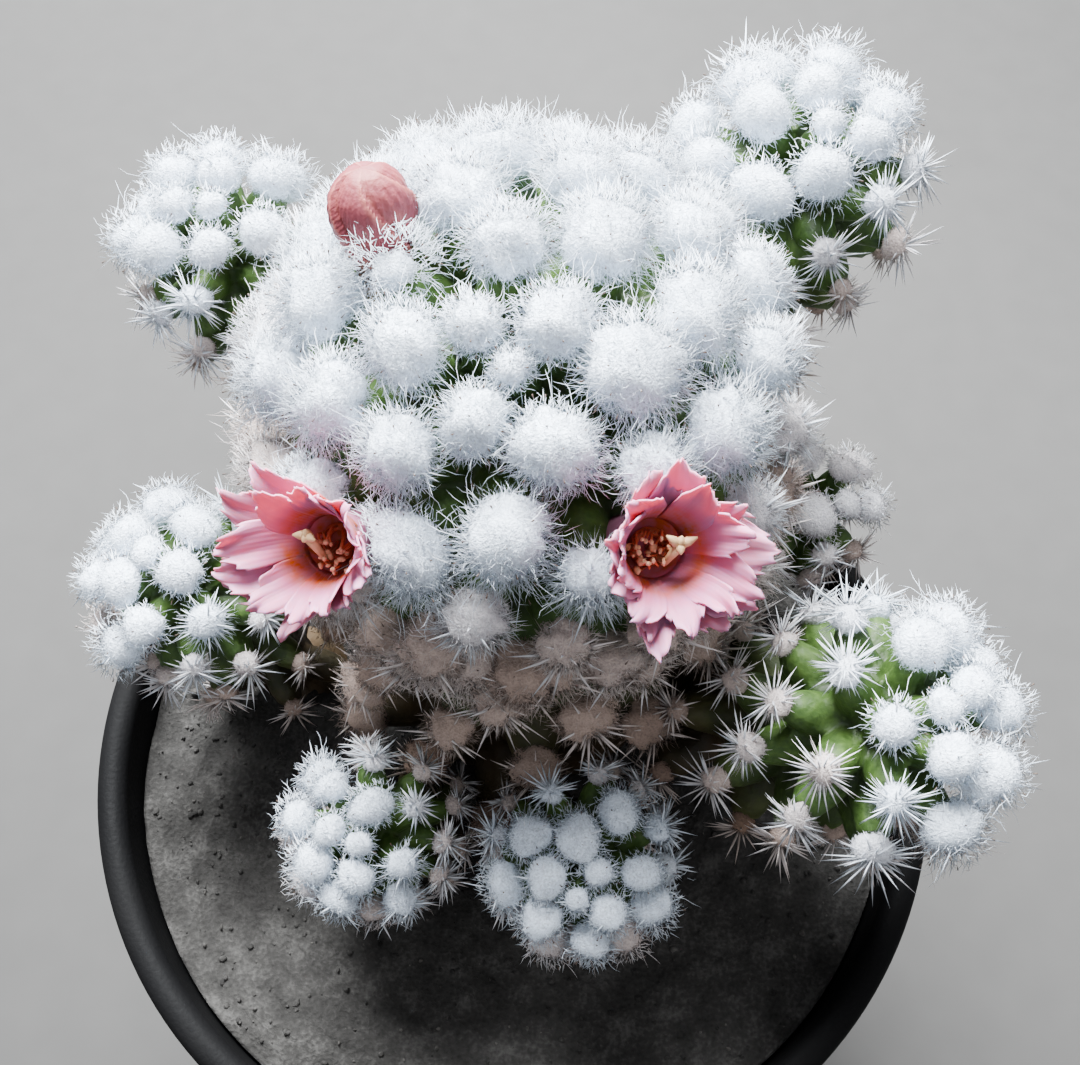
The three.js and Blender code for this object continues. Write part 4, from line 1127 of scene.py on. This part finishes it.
    def core(self, ball, faces):
        """The dense felt that the fine spines stand out of, kept out of the blooms."""
        x, y, _ = self.heart
        rough = 1 + 0.09 * np.sin(ball @ (7.1, 5.3, 2.9) + x) * np.sin(ball @ (3.7, -6.1, 4.3) + y)
        room = room_at(self.heart[None], self.stem["blooms"])[0]
        radius = min(self.reach * mix(0.8, 0.48, self.bare), max((room + 0.7) / 1.15, 0.4 * self.reach))
        points = self.swell(ball) * (rough * radius)[:, None]
        points = points + self.heart - self.normal * self.reach * 0.05
        values = {"age": self.wither_and_shade, "shade": 0.0, "along": 0.0}
        return points, faces, {key: np.full(len(ball), value) for key, value in values.items()}


def stem_tufts(stem, rng, settings):
    """Every tuft of a stem with its spines, and the felt at their hearts."""
    grown, wither_and_shade = tuft_looks(stem, rng)
    tubercles = stem["tubercles"]
    is_main = stem["name"] == "stem_main"
    kind = MAIN_TUFTS if is_main else OFFSET_TUFTS
    ball, ball_faces = ball_form(kind["ball"])
    fine = settings.fine_main if is_main else settings.fine_offset
    width = settings.fine_width / MM
    strong_width = settings.strong_width / MM * kind["strong_width"]
    tufts, cores = [], []
    for i in np.flatnonzero(tubercles["stands"]):
        tuft = Tuft(stem, rng, i, grown[i], wither_and_shade[i])
        share = max(tubercles["size"][i], 0.45) * mix(1, 0.4, smooth_step(0.05, 0.4, tubercles["age"][i]))
        young = share * (1 - grown[i])
        fresh = 1 - wither_and_shade[i]
        fluff = fine * share * mix(1, 0.45, tuft.bare) * mix(1, 0.6, wither_and_shade[i])
        tuft.fluff(int(fluff), width * kind["fluff_width"])
        tuft.curls(int(fine * settings.curled * young * fresh), width)
        tuft.wisps(int(kind["wisps"] * young * fresh), width)
        strong = mix(kind["strong_young"], settings.strong * kind["strong"], grown[i])
        tuft.star(int(round(strong)), strong_width)
        tuft.specks(int(kind["specks"] * young))
        cores.append(tuft.core(ball, ball_faces))
        if tuft.threads:
            tufts.append(tuft)
    return tufts, cores


def threads_mesh(name, tufts):
    """One mesh of many tufts' threads, shaded partly like the ball that they make together."""
    threads = [thread for tuft in tufts for thread in tuft.threads]
    parts, normals = [], []
    for count in sorted({thread["lines"].shape[1] for thread in threads}):
        alike = [thread for thread in threads if thread["lines"].shape[1] == count]
        merged = {key: np.concatenate([thread[key] for thread in alike]) for key in alike[0]}
        looks = {key: merged[key] for key in ("age", "shade")}
        points, faces, values, own = strands(merged["lines"], merged["widths"], looks)
        each = len(points) // len(merged["lines"])
        outward = unit(points - np.repeat(merged["heart"], each, axis=0))
        normals.append(unit(outward * np.repeat(merged["softness"], each)[:, None] + own))
        parts.append((points, faces, values))
    return write_mesh(name, *joined(parts), normals=np.vstack(normals))


def thickened(sheet, thickness):
    """A closed body from a grid of points and how thick it is below each."""
    rows, columns = sheet.shape[:2]
    count = rows * columns
    normal = unit(np.cross(np.gradient(sheet, axis=1), np.gradient(sheet, axis=0)))
    points = np.concatenate([sheet, sheet - normal * thickness[..., None]]).reshape(-1, 3)
    top = grid_faces(rows, columns, False)
    index = np.arange(count).reshape(rows, columns)
    rim = np.concatenate([index[0], index[1:, -1], index[-1, -2::-1], index[-2:0:-1, 0]])
    after = np.roll(rim, -1)
    sides = np.concatenate([
        np.stack([rim, after, after + count], 1), np.stack([rim, after + count, rim + count], 1)])
    return points, np.concatenate([top[:, ::-1], top + count, sides[:, ::-1]])


def petal_form(petal, rng, settings):
    """A petal: a thin creased sheet that rises out of the throat and spreads, with a ragged end."""
    degrees, reach, width, rise, pointed, pale = petal
    rows, columns = PETAL_GRID
    u = np.linspace(0, 1, rows)[:, None]
    v = np.linspace(-1, 1, columns)[None]
    phase = rng.uniform(0, TAU)
    peak = rng.uniform(-0.3, 0.3)
    saw = (v * rng.uniform(1.6, 3.2) + phase) % 1
    teeth = PETAL_TEETH * (saw + 0.5 * ((v * 8.3 + phase) % 1)) * (0.3 + 0.7 * np.abs(v - peak))
    end = 1 - pointed * np.abs(v - peak) ** 1.4 - teeth - rng.uniform(0, 0.05, columns)
    along = u * end
    radius = mix(THROAT_MOUTH, reach, along)
    narrowed = (0.75 + 0.25 * smooth_step(0, 0.4, along)) * (1 - 0.3 * smooth_step(0.55, 1.02, along))
    half = width * PETAL_FULLNESS / 2 * narrowed
    creases = 0.07 * np.sin(v * 4.3 + phase * 2) + 0.03 * np.sin(v * 9.7 + along * 3 + phase)
    waves = np.sin(v * 4.2 + along * 4 - phase) + 0.6 * np.sin(v * 9.1 - along * 3 + 2 * phase)
    ruffle = settings.ruffle / MM * waves * along**1.5
    channel = rng.uniform(0.2, 0.7) * np.abs(v) ** 1.4 * smooth_step(0.1, 0.8, along)
    twist = rng.uniform(-0.45, 0.45) * v * along
    curl = rng.uniform(-0.3, 0.7) * smooth_step(0.6, 1.0, along) ** 2
    height = mix(FLOWER_LENGTH - PETAL_START, FLOWER_LENGTH + rise, 1 - (1 - along) ** 1.7)
    height = height + creases * smooth_step(0, 0.5, along) + ruffle + channel + twist - curl - 0.5 * pale
    sway = 0.1 * np.sin(along * 3 + phase)
    angle = math.radians(degrees) + v * half / np.maximum(radius, 2.1) + sway
    sheet = np.stack([radius * np.cos(angle), radius * np.sin(angle), height], axis=-1)
    points, faces = thickened(sheet, settings.petal_thickness / MM * mix(1, 0.5, along))
    u, v = (np.broadcast_to(grid, (rows, columns)).ravel() for grid in (u, v))
    at_side = 0.8 * smooth_step(0.7, 1.0, np.abs(v)) * smooth_step(0.3, 0.7, u)
    values = {
        "along": 0.1 + 0.9 * along.ravel(), "across": v + phase,
        "edge": np.maximum(smooth_step(0.72, 1.0, u), at_side), "outer": np.full(rows * columns, pale),
    }
    return points, faces, {key: np.tile(value, 2) for key, value in values.items()}


def throat_form():
    """The tube and the funnel of the throat, open upwards."""
    mouth = FLOWER_LENGTH - PETAL_START + 0.2
    profile = [(0, 0), (TUBE_RADIUS, 0), (TUBE_RADIUS + 0.3, 6), (THROAT_MOUTH + 0.08, mouth)]
    profile += [(THROAT_MOUTH, mouth), (TUBE_RADIUS, CUP_FLOOR + 0.4), (0, CUP_FLOOR)]
    points, faces = lathe(profile, THROAT_SIDES)
    inside = (np.hypot(points[:, 0], points[:, 1]) < THROAT_MOUTH + 0.04) & (points[:, 2] >= CUP_FLOOR)
    along = np.where(inside, np.interp(points[:, 2], [CUP_FLOOR, mouth], [0, 0.15]), 0.62)
    none = np.zeros(len(points))
    return points, faces, {"along": along, "across": none, "edge": none, "outer": np.where(inside, 0, 0.9)}


def stamen_forms(flower, rng, settings):
    """Filaments on a ring in the throat, and an anther on each."""
    floor = CUP_FLOOR + 0.5
    ring = 1.1 * round_way(np.linspace(0, TAU * 0.97, RING_POINTS)) + (floor - 0.05) * UP
    tubes = [tube(ring, np.full(RING_POINTS, 0.3), 6)]
    blob, blob_faces = ball_form(1)
    anthers = []
    lean = np.array((*flower["anthers"], 0.0))
    for i in range(settings.stamens):
        out = round_way(GOLDEN_ANGLE * i)
        foot = out * 1.15 + floor * UP
        tip = out * rng.uniform(0.35, 1.25) + lean * rng.uniform(0.5, 1.1)
        tip = tip + (floor + rng.uniform(1.6, 3.4)) * UP
        middle = (foot + tip) / 2 + out * 0.25 + rng.normal(0, 0.1, 3)
        tubes.append(tube([foot, middle, tip], [0.12, 0.1, 0.08], 5))
        shape = rng.uniform(0.14, 0.26) * rng.uniform(0.7, 1.6, 3)
        anthers.append((blob * rng.uniform(0.7, 1.25, (len(blob), 1)) * shape + tip, blob_faces))
    return tubes, anthers


def stigma_form(flower):
    """A pale style that leans over the throat and parts into lobes at its top, two long and two short."""
    head = np.array((*flower["stigma"], CUP_FLOOR + 4.6))
    bend = head * (0.7, 0, 0) + (0, -0.9, CUP_FLOOR + 2.4)
    parts = [tube([(CUP_FLOOR + 0.3) * UP, bend, head], [0.2, 0.24, 0.4], 8)]
    first, second, reach = flower["lobes"]
    middle = (first + second) / 2
    for degrees, length in ((first, reach), (second, reach), (middle, reach / 2), (middle + 180, reach / 2)):
        out = round_way(math.radians(degrees))
        line = [head - 0.2 * UP, head + out * length * 0.5 + 0.2 * UP, head + out * length + 0.35 * UP]
        parts.append(tube(line, [0.36, 0.32, 0.07], 8))
    return parts


def flower_forms(flower, settings):
    """An open flower's throat, petals, filaments, anthers and stigma, each as one form."""
    rng = np.random.default_rng(flower["seed"])
    base, facing = bloom_place(flower["mouth"], flower["facing"], FLOWER_LENGTH)
    petals = [petal_form(petal, rng, settings) for petal in flower["petals"]]
    filaments, anthers = stamen_forms(flower, rng, settings)
    forms = [[throat_form()], petals]
    forms += [[(*part, {}) for part in parts] for parts in (filaments, anthers, stigma_form(flower))]
    placed = []
    for parts in forms:
        points, faces, values = joined(parts)
        placed.append((stood_at(points, base, facing), faces, values))
    return placed


def smooth_table(where, table):
    """A smooth curve through a table's values at whole numbers."""
    low = np.clip(where.astype(int), 0, len(table) - 2)
    t = where - low
    slopes = np.gradient(table)
    a, b = table[low], table[low + 1]
    m, n = slopes[low], slopes[low + 1]
    return (
        (2 * t**3 - 3 * t**2 + 1) * a + (t**3 - 2 * t**2 + t) * m
        + (3 * t**2 - 2 * t**3) * b + (t**3 - t**2) * n)


def bud_form():
    """A closed bud: a tube and a dome of petals wrapped round each other, each with a free edge."""
    stations = np.array([
        (0, TUBE_RADIUS), (BUD_LENGTH - 8, TUBE_RADIUS + 0.3), (BUD_LENGTH - 5.6, BUD_RADIUS * 0.86),
        (BUD_LENGTH - 3.6, BUD_RADIUS), (BUD_LENGTH - 1.7, BUD_RADIUS * 0.88),
        (BUD_LENGTH - 0.4, BUD_RADIUS * 0.46), (BUD_LENGTH - 0.05, 0.05)])
    rows, columns = BUD_GRID
    last = len(stations) - 1
    where = np.interp(np.linspace(0, 1, rows), np.linspace(0, 1, last + 1), np.arange(last + 1))
    z = smooth_table(where, stations[:, 0])[:, None]
    radius = smooth_table(where, stations[:, 1])[:, None]
    turn = around(columns)[None]
    lap = (turn / TAU * BUD_PETALS + z * 0.16) % 1
    upper = smooth_step(BUD_LENGTH - 8.5, BUD_LENGTH - 6, z)
    crease = 0.012 * np.sin(turn * 23 + z * 1.7) + 0.01 * np.sin(turn * 41 - z * 2.9)
    reach = radius * (1 - upper * (BUD_LAP * (1 - lap) ** 1.3 - crease))
    points = reach[..., None] * round_way(turn) + z[..., None] * UP
    points = np.vstack([points.reshape(-1, 3), (0, 0, 0), (BUD_LENGTH - 0.1) * UP])
    high = np.append(np.repeat(z, columns), (0, BUD_LENGTH)) / BUD_LENGTH
    return points, skin_faces(rows, columns)[:, ::-1], {"lap": np.append(lap, (0, 0)), "high": high}


# Settings

def colour_property(name, description, default):
    return bpy.props.FloatVectorProperty(
        name=name, description=description, default=default, subtype="COLOR", min=0, max=1)


def length_property(name, description, default):
    return bpy.props.FloatProperty(
        name=name, description=description, default=default, unit="LENGTH", precision=5)


def count_property(name, description, default):
    return bpy.props.IntProperty(name=name, description=description, default=default, min=0)


class CactusSpineSettings(bpy.types.PropertyGroup):
    fine_main: count_property("Fine spines, main", "Fine spines in a young tuft of the main stem", 1020)
    fine_offset: count_property("Fine spines, offsets", "Fine spines in a young tuft of an offset", 260)
    curled: bpy.props.FloatProperty(
        name="Curled share", description="Curled spines for each short one", default=0.22, min=0, max=1)
    fine_width: length_property("Fine spine width", "Width of a fine spine at its root", 0.00008)
    strong: count_property("Strong spines", "Longer straight spines round a grown tuft", 26)
    strong_width: length_property("Strong spine width", "Width of a strong spine at its root", 0.00025)
    white: colour_property("Spine white", "Colour of young spines", (0.8, 0.89, 1.0))


class CactusFleshSettings(bpy.types.PropertyGroup):
    green: colour_property("Green", "Colour of the flesh", (0.045, 0.092, 0.018))
    green_dark: colour_property("Dark green", "Darkest colour of the flesh", (0.018, 0.042, 0.009))
    green_light: colour_property("Light green", "Lightest colour of the flesh", (0.082, 0.15, 0.03))


class CactusPotSettings(bpy.types.PropertyGroup):
    pot: colour_property("Pot", "Colour of the pot's plastic", (0.003, 0.003, 0.0033))
    # Dust colour for the pot's wall, which also lifts the shaded wall as painted light
    dust_and_light: colour_property("Dust", "Colour of dust on the pot", (0.022, 0.021, 0.02))
    soil: colour_property("Soil", "Colour of the soil", (0.035, 0.034, 0.033))
    soil_dark: colour_property("Dark soil", "Darkest colour of the soil", (0.014, 0.0135, 0.013))
    soil_light: colour_property("Light soil", "Lightest colour of the soil", (0.085, 0.083, 0.081))
    grains: count_property("Grains", "Fine grains on the soil", 1700)


class CactusFlowerSettings(bpy.types.PropertyGroup):
    petal_thickness: length_property("Petal thickness", "Thickness of a petal at its foot", 0.0002)
    ruffle: length_property("Ruffle", "Height of the waves at a petal's end", 0.0004)
    stamens: count_property("Stamens", "Stamens in a flower", 24)
    petal: colour_property("Petal", "Colour of a petal's middle", (0.5, 0.18, 0.31))
    petal_deep: colour_property("Deep petal", "Colour near the throat and in the veins", (0.47, 0.12, 0.23))
    petal_flush: colour_property("Petal flush", "Colour of the deeper patches", (0.48, 0.13, 0.25))
    petal_edge: colour_property("Petal edge", "Colour of a petal's end", (0.4, 0.155, 0.27))
    petal_outer: colour_property("Outer petal", "Colour of the pale outer petals", (0.34, 0.13, 0.2))
    petal_rim: colour_property("Petal rim", "Colour of a petal's thin rim", (0.54, 0.3, 0.45))
    throat: colour_property("Throat", "Colour deep in the flower", (0.38, 0.07, 0.003))
    throat_mouth: colour_property("Throat mouth", "Colour of the throat near its mouth", (0.5, 0.09, 0.006))
    bud: colour_property("Bud", "Colour of the bud", (0.2, 0.039, 0.052))


class CactusStageSettings(bpy.types.PropertyGroup):
    camera_place: bpy.props.FloatVectorProperty(
        name="Camera", description="Where the camera stands, from the pot's foot",
        default=(0.0027, -0.0437, 0.126 + POT_TOP * MM), subtype="TRANSLATION", unit="LENGTH")
    camera_down: bpy.props.FloatProperty(
        name="Looks down", description="How far the camera looks down from level", default=math.radians(62),
        subtype="ANGLE")
    focal: bpy.props.FloatProperty(
        name="Focal length", description="Focal length in pixels of the whole picture", default=1300.0)
    floor: colour_property("Floor", "Colour of the floor", (0.0655, 0.0638, 0.062))


# Operators

class CactusOperator:
    bl_options = {"REGISTER", "UNDO"}


class CACTUS_OT_pot(CactusOperator, bpy.types.Operator):
    """Make the round pot with its lip and drain holes"""

    bl_idname = "cactus.pot"
    bl_label = "Pot"

    def execute(self, context):
        pot = write_mesh("pot_body", *lathe(pot_profile(), POT_SIDES))
        cut_drains(pot)
        pot.data.shade_smooth()
        finish_piece(pot, pot_material(context.scene.cactus_pot), "pot", "pot")
        return {"FINISHED"}


class CACTUS_OT_soil(CactusOperator, bpy.types.Operator):
    """Make the soil bed and the grains on it"""

    bl_idname = "cactus.soil"
    bl_label = "Soil"

    def execute(self, context):
        settings = context.scene.cactus_pot
        rng = np.random.default_rng(11)
        material = soil_material(settings)
        bed = write_mesh("soil_bed", *soil_bed(rng))
        finish_piece(bed, material, "soil", "soil")
        grains = soil_grit(rng, settings.grains, 0.12, 0.42, *ball_form(1))
        finish_piece(write_mesh("soil_grains", *grains, smooth=False), material, "soil", "soil")
        return {"FINISHED"}


class CACTUS_OT_stems(CactusOperator, bpy.types.Operator):
    """Make the stems' flesh with its tubercles"""

    bl_idname = "cactus.stems"
    bl_label = "Stems"

    def execute(self, context):
        material = flesh_material(context.scene.cactus_flesh)
        for stem in plan_plant():
            grid = FLESH_GRID_MAIN if stem["name"] == "stem_main" else FLESH_GRID_OFFSET
            flesh = write_mesh(f"{stem['name']}_flesh", *flesh_form(stem, *grid))
            finish_piece(flesh, material, "stem", stem["name"])
        return {"FINISHED"}


class CACTUS_OT_spines(CactusOperator, bpy.types.Operator):
    """Make every tuft's fine spines, strong spines and wool"""

    bl_idname = "cactus.spines"
    bl_label = "Spines"

    def execute(self, context):
        settings = context.scene.cactus_spines
        spines = spine_material(settings)
        wool = wool_material(settings)
        for number, stem in enumerate(plan_plant()):
            name = stem["name"]
            tufts, cores = stem_tufts(stem, np.random.default_rng(100 + number), settings)
            for start in range(0, len(tufts), TUFTS_A_PIECE):
                batch = tufts[start:start + TUFTS_A_PIECE]
                piece = threads_mesh(f"{name}_spines_{start // TUFTS_A_PIECE + 1}", batch)
                finish_piece(piece, spines, "stem", name)
            finish_piece(write_mesh(f"{name}_wool", *joined(cores)), wool, "stem", name)
        return {"FINISHED"}


class CACTUS_OT_flowers(CactusOperator, bpy.types.Operator):
    """Make both open flowers with petals, stamens and stigma"""

    bl_idname = "cactus.flowers"
    bl_label = "Flowers"

    def execute(self, context):
        settings = context.scene.cactus_flowers
        petals = petal_material("Petals", settings, 0.5, 0.14)
        throat = petal_material("Throat", settings, 0.0, 0.02)
        filaments = plain_material("Filaments", (0.42, 0.06, 0.02), (0.62, 0.16, 0.06), 0.5)
        anthers = plain_material("Anthers", (0.5, 0.2, 0.09), (0.78, 0.48, 0.3), 0.8)
        stigma = plain_material("Stigma", (0.44, 0.25, 0.11), (0.64, 0.42, 0.22), 0.6)
        parts = (
            ("throat", throat, "petals"), ("petals", petals, "petals"), ("filaments", filaments, "stamens"),
            ("anthers", anthers, "stamens"), ("stigma", stigma, "stigma"))
        for name, flower in FLOWERS.items():
            for form, (part, material, slot) in zip(flower_forms(flower, settings), parts):
                piece = write_mesh(f"{name}_{part}_form", *form)
                finish_piece(piece, material, slot, f"{name}_{slot}")
        return {"FINISHED"}


class CACTUS_OT_bud(CactusOperator, bpy.types.Operator):
    """Make the closed bud"""

    bl_idname = "cactus.bud"
    bl_label = "Bud"

    def execute(self, context):
        points, faces, values = bud_form()
        base, facing = bloom_place(BUD["top"], BUD["facing"], BUD_LENGTH)
        bud = write_mesh("bud_form", stood_at(points, base, facing), faces, values)
        finish_piece(bud, bud_material(context.scene.cactus_flowers), "bud", "bud")
        return {"FINISHED"}


def add_light(name, place, aim, size, power, colour):
    """A round soft light that faces a place."""
    data = bpy.data.lights.new(name, "AREA")
    data.shape = "DISK"
    data.size = size
    data.energy = power
    data.color = colour
    light = bpy.data.objects.new(name, data)
    light.location = place
    light.rotation_euler = (Vector(aim) - Vector(place)).to_track_quat("-Z", "Y").to_euler()
    bpy.context.scene.collection.objects.link(light)


def add_world(colour, strength):
    """An even light from all round."""
    world = bpy.data.worlds.new("Soft room")
    world.use_nodes = True
    background = world.node_tree.nodes["Background"].inputs
    background["Color"].default_value = (*colour, 1)
    background["Strength"].default_value = strength
    bpy.context.scene.world = world


def add_camera(settings):
    """The camera that stands and looks as the photo's did."""
    camera = bpy.data.cameras.new("camera")
    camera.sensor_fit = "HORIZONTAL"
    camera.sensor_width = 36.0
    camera.lens = camera.sensor_width * settings.focal / PICTURE_WIDTH
    camera.clip_start = 0.005
    camera.clip_end = 10.0
    eye = bpy.data.objects.new("camera", camera)
    eye.location = settings.camera_place
    eye.rotation_euler = (math.pi / 2 - settings.camera_down, 0, 0)
    bpy.context.scene.collection.objects.link(eye)
    bpy.context.scene.camera = eye


class CACTUS_OT_stage(CactusOperator, bpy.types.Operator):
    """Make the floor, the soft light and the camera"""

    bl_idname = "cactus.stage"
    bl_label = "Stage"

    def execute(self, context):
        settings = context.scene.cactus_stage
        corners = FLOOR_HALF * np.array([(-1, -1, 0), (1, -1, 0), (1, 1, 0), (-1, 1, 0)])
        floor = write_mesh("floor", corners, [(0, 1, 2), (0, 2, 3)], smooth=False)
        floor.data.materials.append(floor_material(settings))
        add_world((0.91, 0.945, 1.0), 0.68)
        aim = (0, 0.01, 0.09)
        add_light("window", (-0.06, 0.235, 0.385), aim, 0.3, 24.0, (0.95, 0.98, 1.0))
        add_light("room", (0.35, -0.3, 0.5), aim, 0.6, 0.6, (1.0, 0.97, 0.94))
        add_camera(settings)
        return {"FINISHED"}


class CACTUS_PT_panel(bpy.types.Panel):
    """The pieces of the potted cactus"""

    bl_label = "Potted cactus"
    bl_idname = "CACTUS_PT_panel"
    bl_space_type = "VIEW_3D"
    bl_region_type = "UI"
    bl_category = "Cactus"

    def draw(self, context):
        for operator in OPERATORS:
            self.layout.operator(operator.bl_idname)
        for name in SETTINGS:
            box = self.layout.box()
            settings = getattr(context.scene, name)
            for key in settings.__annotations__:
                box.prop(settings, key)


OPERATORS = (
    CACTUS_OT_pot, CACTUS_OT_soil, CACTUS_OT_stems, CACTUS_OT_spines,
    CACTUS_OT_flowers, CACTUS_OT_bud, CACTUS_OT_stage,
)
SETTINGS = {
    "cactus_spines": CactusSpineSettings,
    "cactus_flesh": CactusFleshSettings,
    "cactus_pot": CactusPotSettings,
    "cactus_flowers": CactusFlowerSettings,
    "cactus_stage": CactusStageSettings,
}
CLASSES = (*SETTINGS.values(), *OPERATORS, CACTUS_PT_panel)


def register():
    for cls in CLASSES:
        bpy.utils.register_class(cls)
    for name, cls in SETTINGS.items():
        setattr(bpy.types.Scene, name, bpy.props.PointerProperty(type=cls))


def unregister():
    for name in SETTINGS:
        delattr(bpy.types.Scene, name)
    for cls in reversed(CLASSES):
        bpy.utils.unregister_class(cls)


def main():
    register()
    bpy.ops.cactus.pot()
    bpy.ops.cactus.soil()
    bpy.ops.cactus.stems()
    bpy.ops.cactus.spines()
    bpy.ops.cactus.flowers()
    bpy.ops.cactus.bud()
    bpy.ops.cactus.stage()
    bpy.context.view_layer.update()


if __name__ == "__main__":
    main()
